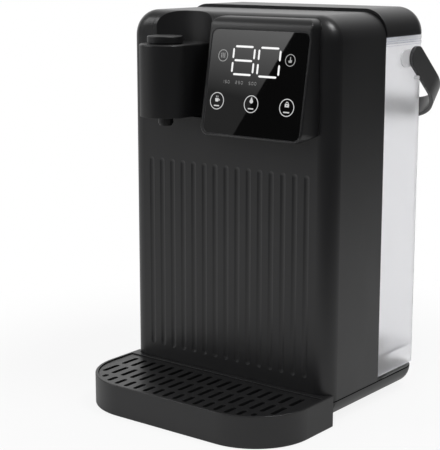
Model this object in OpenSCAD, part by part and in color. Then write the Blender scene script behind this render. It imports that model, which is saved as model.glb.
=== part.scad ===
// Instant hot water dispenser with a lift-off rear tank, a tilted touch display and a drip tray.
// Millimetres, +Z up, front towards -Y, origin on the table under the middle of the machine.

/* [Housing] */
// Width of the housing
body_w = 200; // [196:1:220]
// Height of the housing's top above the table
body_h = 320; // [310:1:345]
// Depth of the housing from its front face to its rear edge
body_d = 75; // [75:1:90]
// Wall thickness of the moulded covers
wall = 2.5; // [2:0.1:3]
// Radius of the housing's two top corners
corner_r = 21; // [18:0.5:24]
// Radius of the housing's front edges
edge_r = 13; // [11:0.5:14]
// Fitting gap between covers of the same body
seam = 0.2; // [0.1:0.05:0.3]

/* [Base] */
// Height of the rubber feet
foot_h = 5.5; // [4:0.5:7]
// Radius of a rubber foot
foot_r = 9; // [7:0.5:11]
// Radius of the rounded lower edge of the base pan
base_round = 14; // [12:0.5:15]
// Height of the straight band above the rounded lower edge
base_lip = 1; // [0.5:0.1:2]
// Plan radius of the rear corners of the base pan
base_corner_r = 19; // [15.5:0.5:20]
// Distance of the feet from the sides of the machine
foot_inset = 38; // [30:1:45]

/* [Front flutes] */
// Number of flutes across the front
flute_count = 15; // [9:2:15]
// Distance between flutes
flute_pitch = 11.1; // [9:0.1:11.4]
// Width of a flute
flute_w = 5; // [3:0.1:6]
// Depth of a flute
flute_depth = 0.6; // [0.5:0.1:1.5]
// Height of the flutes' lower ends
flute_z0 = 35; // [33:1:60]
// Distance of the flutes' upper ends below the display head
flute_gap = 24; // [20:0.5:60]

/* [Display head] */
// Left edge of the head
head_x0 = -7.5; // [-10:0.5:-5]
// Right edge of the head
head_x1 = 88; // [80:0.5:89]
// Height of the head from its lower front edge to its top
head_h = 91; // [86:0.5:95]
// Reach of the lower front edge in front of the housing
head_reach = 25; // [20:0.5:30]
// Lean of the display face from upright
head_tilt = 10; // [7:0.5:12]
// Drop of the head's top below the housing's top
head_drop = 2.5; // [2:0.5:5]
// Radius of the head's upper edge
head_round = 9; // [6:0.5:11]
// Radius of the head's corners, seen from the front
head_corner_r = 8; // [6:0.5:10]
// Rounding of the head's front edges
lip_r = 1.5; // [0.8:0.1:2]
// Width of the display glass
glass_w = 90.5; // [70:0.5:91]
// Height of the display glass
glass_h = 80.5; // [70:0.5:81]
// Thickness of the display glass
glass_t = 1.5; // [1:0.1:2]
// Corner radius of the display glass
glass_r = 5.5; // [3:0.5:7]
// Margin from the glass to the head's right edge
glass_side = 1.3; // [1.2:0.1:3]
// Margin from the glass to the head's lower edge
glass_low = 2; // [1.6:0.1:3]

/* [Spout] */
// Sideways place of the spout
spout_x = -42; // [-46:0.5:-38]
// Distance of the water jet in front of the housing
spout_reach = 24; // [20:0.5:30]
// Half width of the nose round the spout
nose_r = 20.5; // [17:0.5:22]
// Height of the nose
nose_h = 57; // [50:0.5:60]
// Drop of the nose's top below the housing's top
nose_drop = 24.5; // [20:0.5:30]
// Rounding of the nose's upper edge
nose_round = 1.6; // [0.8:0.1:2.5]
// Radius of the hollow niche behind the nose
niche_r = 44; // [40:0.5:48]
// Depth of the niche behind the housing's front
niche_depth = 11; // [8:0.5:12]
// Radius of the round cap on the nose
cap_r = 14.2; // [10:0.1:16]
// Height of the round cap on the nose
cap_h = 6.2; // [4:0.1:8]
// Outside radius of the spout nozzle
nozzle_r = 6; // [5:0.1:7]
// Radius of the nozzle's bore
nozzle_bore = 2.4; // [1.5:0.1:2.6]
// Length of the nozzle below the nose
nozzle_drop = 7.5; // [5:0.5:12]

/* [Tank] */
// Gap between the housing and the tank
tank_gap = 0.6; // [0.4:0.1:1]
// Depth of the tank
tank_d = 65.4; // [60:0.2:70]
// Wall thickness of the tank
tank_wall = 2.2; // [1.8:0.1:2.6]
// Step of the tank's sides behind the housing's sides
tank_inset = 0.6; // [0.3:0.1:1]
// Plan radius of the tank's rear corners
tank_corner_r = 14; // [10:0.5:16]
// Gap between the base and the tank's lower edge
tank_stand = 3; // [2:0.2:4]
// Height of the tank's floor above its lower edge
tank_skirt = 17.5; // [17:0.5:24]
// Height of the rim band below the lid
rim_h = 7; // [6:0.5:9]
// Outside radius of the valve spigot under the tank
spigot_r = 9; // [8:0.5:10]

/* [Lid] */
// Height of the lid's straight band below its rounded corners
lid_band = 0.5; // [0.5:0.5:4]
// Rise of the lid's top above the housing's top
lid_rise = 2.5; // [1:0.5:4]
// Gap between the housing and the lid
lid_gap = 1.4; // [1:0.1:1.6]
// Thickness of the gasket between the lid and the tank's rim
gasket_t = 0.5; // [0.4:0.1:1]

/* [Handle] */
// Width of the handle's strap
handle_w = 18.6; // [16:0.2:20]
// Thickness of the handle's strap
handle_t = 3; // [2.6:0.2:4]
// Distance from the pivot to the outside of the grip
handle_reach = 75; // [62:0.5:80]
// Distance of the pivot in front of the tank's rear wall
handle_pivot_in = 21; // [18:0.5:24]
// Distance of the pivot below the lid
handle_pivot_drop = 18.6; // [18:0.1:22]
// Angle of the hanging handle below level
handle_hang = 40.5; // [36:0.5:45]
// Outside corner radius of the strap
handle_corner_r = 41; // [24:0.5:44]
// Radius of the pivot pins
pin_r = 4; // [3:0.1:5]

/* [Drip tray] */
// Distance by which the tray stands out past each side of the housing
tray_over = 0.75; // [0.25:0.25:1.5]
// Reach of the tray in front of the housing
tray_reach = 79; // [76:0.5:95]
// Height of the tray's rim above the table
tray_top = 26.5; // [25.5:0.5:30]
// Gap between the tray and the table
tray_clear = 0.6; // [0.4:0.1:1]
// Plan radius of the tray's front corners
tray_corner_r = 50; // [40:1:65]
// Wall thickness of the tray
tray_wall = 2.4; // [2:0.1:3]
// Gap between the tray and the pieces that it meets
tray_gap = 0.5; // [0.3:0.1:0.8]
// Thickness of the drip grid
grid_t = 2.4; // [1.8:0.1:3]
// Width of the tray's rim behind the grid
grid_rear = 5; // [4:0.5:8]
// Width of a drip slot
slot_w = 3.9; // [3:0.1:3.9]
// Length of a drip slot
slot_l = 19; // [14:0.5:20]
// Sideways distance between drip slots
slot_pitch = 10.1; // [9:0.1:12]
// Distance between rows of drip slots
slot_row = 24; // [21.5:0.5:24.5]

/* [Water path] */
// Outside radius of the silicone hoses
hose_r = 5; // [4.5:0.1:5.5]
// Inside radius of the silicone hoses
hose_bore = 3.1; // [2.8:0.1:3.5]
// Bend radius of the hoses
bend_r = 12; // [10:0.5:13]
// Radius of the pump's volute
pump_r = 15; // [14:0.5:16]
// Radius of the instant heater
heater_r = 19; // [15:0.5:20]
// Length of the instant heater between its end caps
heater_l = 105; // [80:1:112]
// Depth of the heater's axis behind the housing's front
heater_y = 42; // [40:0.5:44]

/* [Electronics] */
// Width of the power board
board_w = 58; // [52:1:62]
// Height of the power board
board_h = 115; // [100:1:125]
// Thickness of the circuit boards
board_t = 1.6; // [1.2:0.1:2]

/* [Hidden] */
$fn = 96;

// Overlap that lets a cut run past a face
past = 1;
// Running clearance of a shaft in its bore
run = 0.05;
// Clearance between round faces of pieces that move
slip = 0.3;

black = [0.10, 0.10, 0.105];
soft_black = [0.06, 0.06, 0.065];
frost = [0.80, 0.80, 0.84];
steel = [0.70, 0.71, 0.72];
rubber = [0.05, 0.05, 0.05];
silicone = [0.86, 0.86, 0.84];
board_green = [0.08, 0.30, 0.16];

// Base and tank heights
base_top = foot_h + base_round + base_lip;
floor_z = foot_h + wall;
tank_z0 = base_top + tank_stand;
tank_floor = tank_z0 + tank_skirt;
skirt_top = tank_floor - tank_wall;
lid_h = corner_r + lid_band;
lid_top = body_h + lid_rise;
lid_z0 = lid_top - lid_h;
tank_z1 = lid_z0 - gasket_t;

// Depths, counted from the housing's front face
bulk_y1 = body_d - 0.5;
bulk_y0 = bulk_y1 - wall;
tank_y0 = body_d + tank_gap;
tank_y1 = tank_y0 + tank_d;
lid_y0 = body_d + lid_gap;
lid_rear_r = tank_corner_r + 0.5;
half_w = body_w / 2;
tank_half = half_w - tank_inset;
tank_in_half = tank_half - tank_wall;
tank_in_y0 = tank_y0 + tank_wall;
tank_in_y1 = tank_y1 - tank_wall;

// Handle pivot and the farthest point of the hanging strap
pivot_y = tank_y1 - handle_pivot_in;
pivot_z = lid_z0 - handle_pivot_drop;
boss_t = 1;
bush_r = pin_r + 2;
skin = 1;
stop_r = 1.6;
stop_s = 12;
rim_band = 3.4;
rim_bead = 1.8;
arm_x0 = tank_half + boss_t + slip;
arm_x1 = arm_x0 + handle_t;
handle_rear = pivot_y + handle_reach * cos(handle_hang) + handle_w / 2 * sin(handle_hang);

// Shift that puts the origin under the middle of the machine
shift_y = (tray_reach - handle_rear) / 2;

// Nose, counted down from the housing's top
nose_z1 = body_h - nose_drop;
nose_z0 = nose_z1 - nose_h;

// Water path
valve_y = (tank_y0 + tank_y1) / 2;
hose_z = base_top + 8;
tunnel_half = hose_r + 11;
tunnel_z1 = hose_z + hose_r + 2.5;
tunnel_y1 = valve_y + spigot_r + 8;
tunnel_wall = 2;
socket_r = spigot_r + 3;
socket_bore = spigot_r + 0.6;
socket_z0 = hose_z - hose_r - 1.5;
socket_flange = 1.2;
pump_z = hose_z;
pump_y = heater_y;
volute_half = 6.5;
impeller_r = pump_r - 3.5;
shaft_r = 1.5;
motor_l = 27;
motor_r = pump_r - 2;
outlet_x = pump_r - 5.5;
nipple_r = hose_bore - 0.1;
nipple_bore = nipple_r - 1;
nipple_l = 9;
cap_t = 7;
pump_out_z = pump_z + pump_r + 1;
pump_turn_z = pump_out_z + nipple_l;
pump_level_z = pump_turn_z + bend_r;
heater_z0 = pump_level_z + bend_r + nipple_l + 1 + cap_t;
heater_z1 = heater_z0 + heater_l;
cutout_r = 7;
cutout_pitch = 16;
clip_h = 12;
clip_gap = 3;
nozzle_flange = 1.5;
nozzle_top = nose_z0 + 17;
hose_turn_z = nozzle_top + 1;
hose_top = hose_turn_z + bend_r;

// Tank valve, held open by the socket's pin
seal_t = 1.6;
valve_lift = 2.2;
spigot_flange = 1.2;
spigot_bore = spigot_r - 2.5;
poppet_z = tank_floor + seal_t + valve_lift;
poppet_r = spigot_r - 0.5;
poppet_t = 2.2;
stem_r = 2.2;
cage_r = spigot_r + 4;
cage_t = 1.6;
cage_z1 = poppet_z + 16;
pin_tip = tunnel_z1 - 1;
spring_r = 4.6;
spring_wire = 0.5;
spring_turns = 5;
spring_z0 = poppet_z + poppet_t + spring_wire + 0.1;
spring_z1 = cage_z1 - cage_t - spring_wire - 0.1;

// Display head, and the flutes that end below it
head_top = body_h - head_drop;
head_z = head_top - head_h;
flute_z1 = head_z - flute_gap;
head_w = head_x1 - head_x0;
head_mid = (head_x0 + head_x1) / 2;
face_l = head_h / cos(head_tilt);
glass_x = head_x1 - glass_side - glass_w / 2;
glass_v = glass_low + glass_h / 2;
window_rim = 4;
board_back = 9;
head_post_r = 2.6;

// Power board
board_x0 = half_w - wall - 12 - board_w;
board_z0 = base_top + 80;
standoff_l = 8;
board_y1 = bulk_y0 - standoff_l;
board_y0 = board_y1 - board_t;

// Screws and their posts
screw_r = 1.5;
screw_head_r = 3;
screw_head_t = 1.5;
screw_l = 9;
post_r = 4.5;
post_h = 14;
post_x = half_w - base_round - post_r - 2.5;
post_ys = [edge_r + 4, body_d - 15];
side_post_x = half_w - wall - post_r + 0.6;
side_post_l = 12;
side_post_zs = [base_top + 40, body_h - corner_r - 20];

// Tray tabs that hook into the base pan
tab_w = 20;
tab_t = 3.2;
tab_l = 10;
tab_hook_x = 45;
tab_z = foot_h + 4;
// Gap under pieces that rest on another body
rest = 0.1;

// Drip tray
tray_w = body_w + 2 * tray_over;
tray_horn = 7;
grid_z = tray_top - 0.9 - grid_t;

// Cord gland in the base pan's rear
gland_r = 5.3;
gland_flange = 6.3;
gland_x = half_w - 40;
gland_y = tank_y1 - 2.4;
gland_z = foot_h + base_round - 7.5;

// Tank legs and handle pads
leg_x = half_w - 30;
leg_dy = 16;
pad_r = 7;
pad_l = 14;

// Moves a piece from the housing's front face to the part's own origin
module placed() {
  translate([0, shift_y, 0]) children();
}

// Half section of a block: n outwards, h up, with rounded lower and upper outer edges
module edge_section(n, h, low, high) {
  union() {
    translate([0, low]) square([n, h - low - high]);
    if (low > 0) square([n - low, low]);
    if (high > 0) translate([0, h - high]) square([n - high, high]);
    if (low > 0) translate([n - low, low]) intersection() {
      circle(low);
      translate([0, -low]) square([low, low]);
    }
    if (high > 0) translate([n - high, h - high]) intersection() {
      circle(high);
      square([high, high]);
    }
  }
}

// Rectangular block on z = 0 with round plan corners and rounded lower and upper edges
module soft_block(w, d, h, plan_r, low, high) {
  cx = w / 2 - plan_r;
  cy = d / 2 - plan_r;
  union() {
    translate([-cx, -cy, 0]) cube([2 * cx, 2 * cy, h]);
    for (turn = [0, 180]) {
      rotate(turn) translate([cx, cy, 0]) rotate([90, 0, 0])
        linear_extrude(2 * cy) edge_section(plan_r, h, low, high);
      rotate(turn) translate([-cx, cy, 0]) rotate([90, 0, 90])
        linear_extrude(2 * cx) edge_section(plan_r, h, low, high);
      rotate(turn) translate([cx, cy, 0])
        rotate_extrude(angle = 90) edge_section(plan_r, h, low, high);
      rotate(turn) translate([-cx, cy, 0]) rotate(90)
        rotate_extrude(angle = 90) edge_section(plan_r, h, low, high);
    }
  }
}

// Upright block with round top corners and one rounded front edge that runs round the arch
module arch_block(half, r, e, y0, y1, z0, z1) {
  cx = half - r;
  cz = z1 - r;
  union() {
    translate([-cx, y0, z0]) cube([2 * cx, y1 - y0, cz - z0]);
    for (side = [0, 1]) mirror([side, 0, 0]) {
      translate([cx, y0, z0]) linear_extrude(cz - z0) edge_section(r, y1 - y0, e, 0);
      translate([cx, y0, cz]) rotate([-90, -90, 0])
        rotate_extrude(angle = 90) edge_section(r, y1 - y0, e, 0);
    }
    translate([-cx, y0, cz]) rotate([90, 0, 90])
      linear_extrude(2 * cx) mirror([1, -1, 0]) edge_section(r, y1 - y0, e, 0);
  }
}

// Outside of the housing, grown by a margin
module housing_form(grow, y1) {
  arch_block(half_w + grow, corner_r + grow, edge_r + grow, -grow, y1, base_top, body_h + grow);
}

// Plan of the housing's front, grown by a margin, reaching back to a given depth
module body_plan(grow, y1) {
  r = edge_r + grow;
  union() {
    translate([-half_w - grow, edge_r]) square([body_w + 2 * grow, y1 - edge_r]);
    translate([-half_w + edge_r, -grow]) square([body_w - 2 * edge_r, y1 + grow]);
    for (side = [-1, 1]) translate([side * (half_w - edge_r), edge_r]) circle(r);
  }
}

// Plan of the tank and lid: square front, round rear corners, drawn in by a margin
module tank_plan(half, y0, y1, r) {
  union() {
    translate([-half, y0]) square([2 * half, y1 - r - y0]);
    translate([-half + r, y0]) square([2 * (half - r), y1 - y0]);
    for (side = [-1, 1]) translate([side * (half - r), y1 - r]) circle(r);
  }
}

// Round rod or tube along Y
module rod_y(r, y0, y1) {
  translate([0, y0, 0]) rotate([-90, 0, 0]) cylinder(r = r, h = y1 - y0);
}

// Rounded rectangle centred on the origin
module soft_rect(w, h, r) {
  union() {
    square([w - 2 * r, h], center = true);
    square([w, h - 2 * r], center = true);
    for (i = [-1, 1], j = [-1, 1]) translate([i * (w / 2 - r), j * (h / 2 - r)]) circle(r);
  }
}

// Frame of the display face: x across, y up the face, z straight out of it
module on_face() {
  translate([0, -head_reach, head_z]) rotate([90 - head_tilt, 0, 0]) children();
}

// Niche behind the nose, as a round column of a given radius
module niche_column(r, z0, z1) {
  translate([spout_x, niche_depth - niche_r, z0]) cylinder(r = r, h = z1 - z0);
}

// One flute cutter: a rod with round ends that dips into the front face
module flute_cutter() {
  r = (flute_w * flute_w / 4 + flute_depth * flute_depth) / (2 * flute_depth);
  run_l = flute_z1 - flute_z0 - 2 * r;
  translate([0, flute_depth - r, flute_z0 + r]) rotate_extrude() intersection() {
    union() {
      square([r, run_l]);
      circle(r);
      translate([0, run_l]) circle(r);
    }
    translate([0, -2 * r]) square([r, run_l + 4 * r]);
  }
}

// Hose piece: straight tube upwards
module hose_run(l) {
  linear_extrude(l) difference() {
    circle(hose_r);
    circle(hose_bore);
  }
}

// Hose piece: quarter bend that starts upwards at the origin and ends along +X
module hose_bend() {
  translate([bend_r, 0, 0]) rotate([90, 0, 0]) rotate([0, 0, 90])
    rotate_extrude(angle = 90) translate([bend_r, 0]) difference() {
      circle(hose_r);
      circle(hose_bore);
    }
}

module housing_shell() {
  color(black) placed() difference() {
    union() {
      difference() {
        housing_form(0, body_d);
        arch_block(half_w - wall, corner_r - wall, edge_r - wall, wall, body_d + past,
          base_top - past, body_h - wall);
      }
      for (side = [0, 1], y = post_ys) mirror([side, 0, 0]) {
        translate([post_x, y, base_top]) cylinder(r = post_r, h = post_h);
        translate([post_x, y - 1.5, base_top]) cube([half_w - wall + 0.5 - post_x, 3, post_h]);
      }
      for (side = [-1, 1], z = side_post_zs) translate([side * side_post_x, 0, z])
        rod_y(post_r, bulk_y0 - side_post_l, bulk_y0);
    }
    niche_column(niche_r + wall + run, nose_z0 - 2 * wall, body_h + past);
    for (i = [0 : flute_count - 1])
      translate([(i - (flute_count - 1) / 2) * flute_pitch, 0, 0]) flute_cutter();
    translate([head_mid - 30, -past, head_z + 12]) cube([60, wall + 2 * past, 55]);
    for (side = [-1, 1], y = post_ys)
      translate([side * post_x, y, base_top - past]) cylinder(r = screw_r + run, h = post_h - 1);
    for (side = [-1, 1], z = side_post_zs) translate([side * side_post_x, 0, z])
      rod_y(screw_r + run, bulk_y0 - side_post_l + 1, bulk_y0 + past);
  }
}

// Side view of the head: leaning face, square lower edge, round upper edge
module head_section(inset) {
  r = head_round - inset;
  top = head_top - inset;
  t = head_tilt;
  face = [cos(t), sin(t)];
  foot = [-head_reach + inset * cos(t) + inset * sin(t), head_z - inset * sin(t) + inset * cos(t)];
  back = edge_r + past;
  depth = (back - foot[0]) / cos(t);
  corner_y = foot[0] + (top - foot[1]) * tan(t);
  reach = r * tan((90 - t) / 2);
  mid = [corner_y + reach, top - r];
  union() {
    polygon([
      foot,
      foot + depth * face,
      [back, top],
      [corner_y + reach, top],
      [corner_y - reach * sin(t), top - reach * cos(t)]
    ]);
    translate(mid) circle(r);
  }
}

// Outside of the head before the housing is taken off it
module head_form() {
  intersection() {
    on_face() translate([head_mid, face_l, 0]) mirror([0, 0, 1])
      soft_block(head_w, 2 * face_l, 60, head_corner_r, lip_r, 0);
    translate([head_x0 - past, 0, 0]) rotate([90, 0, 90])
      linear_extrude(head_w + 2 * past) head_section(0);
    translate([head_mid, edge_r, head_top - head_h]) rotate([90, 0, 0])
      linear_extrude(edge_r + 2 * head_reach) soft_rect(head_w, 2 * head_h, head_corner_r);
  }
}

module head_case() {
  color(black) placed() difference() {
    union() {
      difference() {
        head_form();
        intersection() {
          translate([head_x0, 0, 0]) rotate([90, 0, 90]) linear_extrude(head_w) head_section(wall);
          on_face() translate([head_mid, face_l / 2, -60]) linear_extrude(60 - wall)
            soft_rect(head_w - 2 * wall, face_l - 2 * wall, head_corner_r - wall);
          translate([head_x0, -2 * head_reach, 0]) cube([head_w, 2 * head_reach + wall, body_h]);
        }
      }
      for (i = [-1, 1], j = [-1, 1]) on_face()
        translate([glass_x + i * (glass_w / 2 - 9), glass_v + j * (glass_h / 2 - 9), -board_back])
          cylinder(r = head_post_r, h = board_back - wall + 0.1);
    }
    housing_form(0, body_d);
    on_face() translate([glass_x, glass_v, -glass_t - seam])
      linear_extrude(glass_t + 2) soft_rect(glass_w + 2 * seam, glass_h + 2 * seam, glass_r);
    on_face() translate([glass_x, glass_v, -wall - past])
      linear_extrude(wall + 2 * past)
        soft_rect(glass_w - 2 * (window_rim + 9), glass_h - 2 * window_rim, glass_r);
  }
}

module display_glass() {
  color(soft_black) placed() on_face() translate([glass_x, glass_v, -glass_t])
    linear_extrude(glass_t) soft_rect(glass_w, glass_h, glass_r);
}

module display_board() {
  color(board_green) placed() on_face() translate([glass_x, glass_v, -board_back - board_t])
    linear_extrude(board_t) difference() {
      soft_rect(glass_w - 10, glass_h - 10, 2);
      for (i = [-1, 1]) translate([i * (glass_w / 2 - 9), 0]) circle(1.2);
    }
}

module digit_module() {
  color("ghostwhite") placed() on_face() translate([glass_x - 2, glass_v + 15, -board_back])
    linear_extrude(board_back - glass_t - seam) difference() {
      soft_rect(54, 30, 1);
      for (i = [-1, 1]) translate([i * 25, 0]) circle(0.8);
    }
}

// Nose: round front and straight sides that run back to the niche
module nose_form(r, z0, z1, round_r) {
  h = z1 - z0;
  translate([spout_x, -spout_reach, z0]) {
    rotate(180) rotate_extrude(angle = 180) edge_section(r, h, 0, round_r);
    for (side = [0, 1]) mirror([side, 0, 0]) translate([0, spout_reach + niche_depth, 0])
      rotate([90, 0, 0]) linear_extrude(spout_reach + niche_depth) edge_section(r, h, 0, round_r);
  }
}

// Scooped liner in the housing's front, behind the nose
module niche_wall() {
  color(black) placed() difference() {
    intersection() {
      housing_form(0, body_d);
      niche_column(niche_r + wall, nose_z0 - 2 * wall, body_h);
    }
    niche_column(niche_r, nose_z0 - wall, body_h + past);
    translate([spout_x, 0, hose_top]) rod_y(hose_r + slip, 0, niche_depth + 2 * wall);
  }
}

module nose_shell() {
  color(black) placed() difference() {
    intersection() {
      nose_form(nose_r, nose_z0, nose_z1, nose_round);
      niche_column(niche_r - run, nose_z0, nose_z1);
    }
    nose_form(nose_r - wall, nose_z0 - past, nose_z1 - wall, 0);
  }
}

module nose_floor() {
  color(black) placed() difference() {
    intersection() {
      nose_form(nose_r - wall - seam, nose_z0, nose_z0 + wall, 0);
      niche_column(niche_r - run, nose_z0, nose_z1);
    }
    translate([spout_x, -spout_reach, nose_z0 - past])
      cylinder(r = nozzle_r + seam, h = wall + 2 * past);
  }
}

module spout_cap() {
  color(soft_black) placed() translate([spout_x, -spout_reach, nose_z1]) rotate_extrude() {
    difference() {
      edge_section(cap_r, cap_h, 0, 1);
      translate([cap_r - 1, 0]) square([2, 0.8]);
    }
  }
}

module spout_nozzle() {
  z0 = nose_z0 - nozzle_drop;
  seat = nose_z0 + wall;
  color(soft_black) placed() translate([spout_x, -spout_reach, 0]) rotate_extrude() difference() {
    union() {
      translate([0, z0]) square([nozzle_r - 1, seat - z0]);
      translate([0, z0 + 1.5]) square([nozzle_r, seat - z0 - 1.5]);
      translate([0, seat]) square([nozzle_r + 2, nozzle_flange]);
      translate([0, seat]) square([nipple_r, nozzle_top - seat]);
    }
    translate([0, z0 - past]) square([nozzle_bore, nozzle_top - z0 + 2 * past]);
  }
}

module outlet_hose() {
  low = nose_z0 + wall + nozzle_flange;
  heater_out = heater_z1 + cap_t;
  color(silicone) placed() translate([spout_x, 0, 0]) {
    translate([0, -spout_reach, low]) hose_run(hose_turn_z - low);
    translate([0, -spout_reach, hose_turn_z]) rotate(90) hose_bend();
    translate([0, bend_r - spout_reach, hose_top]) rotate([-90, 0, 0])
      hose_run(heater_y + spout_reach - 2 * bend_r);
    translate([0, heater_y, hose_turn_z]) rotate(-90) hose_bend();
    translate([0, heater_y, heater_out]) hose_run(hose_turn_z - heater_out);
  }
}

module heater_tube() {
  color(steel) placed() translate([spout_x, heater_y, heater_z0]) difference() {
    cylinder(r = heater_r, h = heater_l);
    translate([0, 0, -past]) cylinder(r = heater_r - 2, h = heater_l + 2 * past);
  }
}

// End cap with a collar round the heater and a hose nipple
module heater_cap() {
  rotate_extrude() difference() {
    union() {
      square([heater_r + 1.5, cap_t]);
      translate([0, cap_t]) square([nipple_r, nipple_l]);
      translate([heater_r + seam, -5]) square([1.5 - seam, 5 + past]);
    }
    translate([0, -past]) square([nipple_bore, cap_t + nipple_l + 2 * past]);
  }
}

module heater_caps() {
  color(soft_black) placed() translate([spout_x, heater_y, 0]) {
    translate([0, 0, heater_z1]) heater_cap();
    translate([0, 0, heater_z0]) mirror([0, 0, 1]) heater_cap();
  }
}

module heater_bracket() {
  ring = heater_r + 2.5;
  mid = heater_z0 + heater_l / 2;
  clip_in = cutout_pitch / 2 + cutout_r + clip_gap;
  color("dimgray") placed() translate([spout_x, 0, 0]) difference() {
    union() {
      translate([-heater_r, bulk_y0 - 1.5, heater_z0 + 10])
        cube([2 * heater_r, 1.5, heater_l - 20]);
      for (z = [mid - clip_in - clip_h, mid + clip_in]) {
        translate([0, heater_y, z]) cylinder(r = ring, h = clip_h);
        translate([-8, heater_y, z]) cube([16, bulk_y0 - heater_y, clip_h]);
      }
    }
    translate([0, heater_y, heater_z0]) cylinder(r = heater_r + seam, h = heater_l);
  }
}

module thermal_cutouts() {
  face_y = heater_y - heater_r;
  mid = heater_z0 + heater_l / 2;
  color(steel) placed() difference() {
    for (side = [-1, 1]) translate([spout_x, 0, mid + side * cutout_pitch / 2]) {
      rod_y(cutout_r, face_y - 5, face_y + 1.5);
      rod_y(cutout_r - 2, face_y - 9, face_y - 5);
    }
    translate([spout_x, heater_y, heater_z0]) cylinder(r = heater_r + run, h = heater_l);
  }
}

module temperature_probe() {
  color("goldenrod") placed() translate([spout_x + 11, heater_y, heater_z1 + cap_t]) rotate_extrude()
    union() {
      square([4, 3]);
      square([2.5, 11]);
    }
}

module pump_hose() {
  color(silicone) placed() translate([0, pump_y, 0]) {
    translate([outlet_x, 0, pump_out_z]) hose_run(pump_turn_z - pump_out_z);
    translate([outlet_x, 0, pump_turn_z]) rotate(180) hose_bend();
    translate([outlet_x - bend_r, 0, pump_level_z]) rotate([0, -90, 0])
      hose_run(outlet_x - spout_x - 2 * bend_r);
    translate([spout_x, 0, pump_level_z + bend_r]) mirror([0, 0, 1]) hose_bend();
    translate([spout_x, 0, pump_level_z + bend_r])
      hose_run(heater_z0 - cap_t - pump_level_z - bend_r);
  }
}

module pump_body() {
  y0 = pump_y - volute_half;
  y1 = pump_y + volute_half;
  color(soft_black) placed() translate([0, 0, pump_z]) difference() {
    union() {
      rod_y(pump_r, y0, y1);
      rod_y(nipple_r, y1 - past, y1 + nipple_l);
      translate([outlet_x, pump_y, 0]) cylinder(r = nipple_r, h = pump_r + nipple_l);
      translate([outlet_x, pump_y, 0]) cylinder(r = hose_r, h = pump_r + 1);
    }
    rod_y(impeller_r + 1, y0 + 2, y1 - 2);
    rod_y(nipple_bore, y1 - 3, y1 + nipple_l + past);
    rod_y(shaft_r + run, y0 - past, y0 + 3);
    translate([outlet_x, pump_y, 0]) cylinder(r = nipple_bore, h = pump_r + nipple_l + past);
  }
}

module pump_motor() {
  y1 = pump_y - volute_half;
  color(steel) placed() translate([0, 0, pump_z]) difference() {
    union() {
      rod_y(motor_r, y1 - motor_l, y1);
      rod_y(4, y1 - motor_l - 2, y1 - motor_l);
    }
    rod_y(shaft_r + run, y1 - 16, y1 + past);
  }
}

module pump_cradle() {
  y1 = pump_y - volute_half - 3;
  y0 = y1 - motor_l + 7;
  color(rubber) placed() difference() {
    translate([-motor_r + 1, y0, floor_z]) cube([2 * motor_r - 2, y1 - y0, pump_z - floor_z - 3]);
    translate([0, 0, pump_z]) rod_y(motor_r + run, y0 - past, y1 + past);
  }
}

module pump_impeller() {
  y0 = pump_y - volute_half;
  color("whitesmoke") placed() translate([0, 0, pump_z]) union() {
    rod_y(shaft_r, y0 - 14, y0 + 4);
    rod_y(impeller_r, y0 + 2.6, y0 + 4);
    rod_y(4, y0 + 3, y0 + 9.5);
    for (i = [0 : 5]) rotate([0, i * 60, 0]) translate([3, y0 + 3, -0.7])
      cube([impeller_r - 3.3, 6, 1.4]);
  }
}

module inlet_hose() {
  color(silicone) placed() translate([0, pump_y + volute_half, hose_z]) rotate([-90, 0, 0])
    hose_run(valve_y - socket_r - pump_y - volute_half);
}

module tank_socket() {
  color(soft_black) placed() translate([0, valve_y, 0]) difference() {
    union() {
      translate([0, 0, socket_z0]) cylinder(r = socket_r, h = tunnel_z1 - socket_z0);
      translate([0, 0, tunnel_z1]) cylinder(r = socket_r + 2.5, h = socket_flange);
      translate([0, 0, hose_z]) rod_y(nipple_r, -socket_r - nipple_l, 0);
    }
    difference() {
      translate([0, 0, socket_z0 + 2]) cylinder(r = socket_bore, h = 40);
      translate([0, 0, socket_z0]) cylinder(r = 1.6, h = pin_tip - socket_z0);
    }
    translate([0, 0, tunnel_z1 - 3]) cylinder(r = socket_bore + 1.2, h = 2);
    translate([0, 0, hose_z]) rod_y(nipple_bore, -socket_r - nipple_l - past, -socket_bore + past);
  }
}

module socket_seal() {
  color(silicone) placed() translate([0, valve_y, tunnel_z1 - 3 + seam]) rotate_extrude()
    translate([spigot_r + slip, 0]) square([socket_bore + 1.2 - seam - spigot_r - slip, 2 - 2 * seam]);
}

// Base pan form, drawn in by a margin
module base_form(inset) {
  d = 2 * tank_y1;
  intersection() {
    translate([0, 0, foot_h + inset])
      soft_block(body_w - 2 * inset, d - 2 * inset, base_round + base_lip, base_corner_r - inset,
        base_round - inset, 0);
    translate([0, 0, foot_h]) linear_extrude(base_round + base_lip + 2 * wall)
      body_plan(-inset, tank_y1 + past);
  }
}

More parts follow.
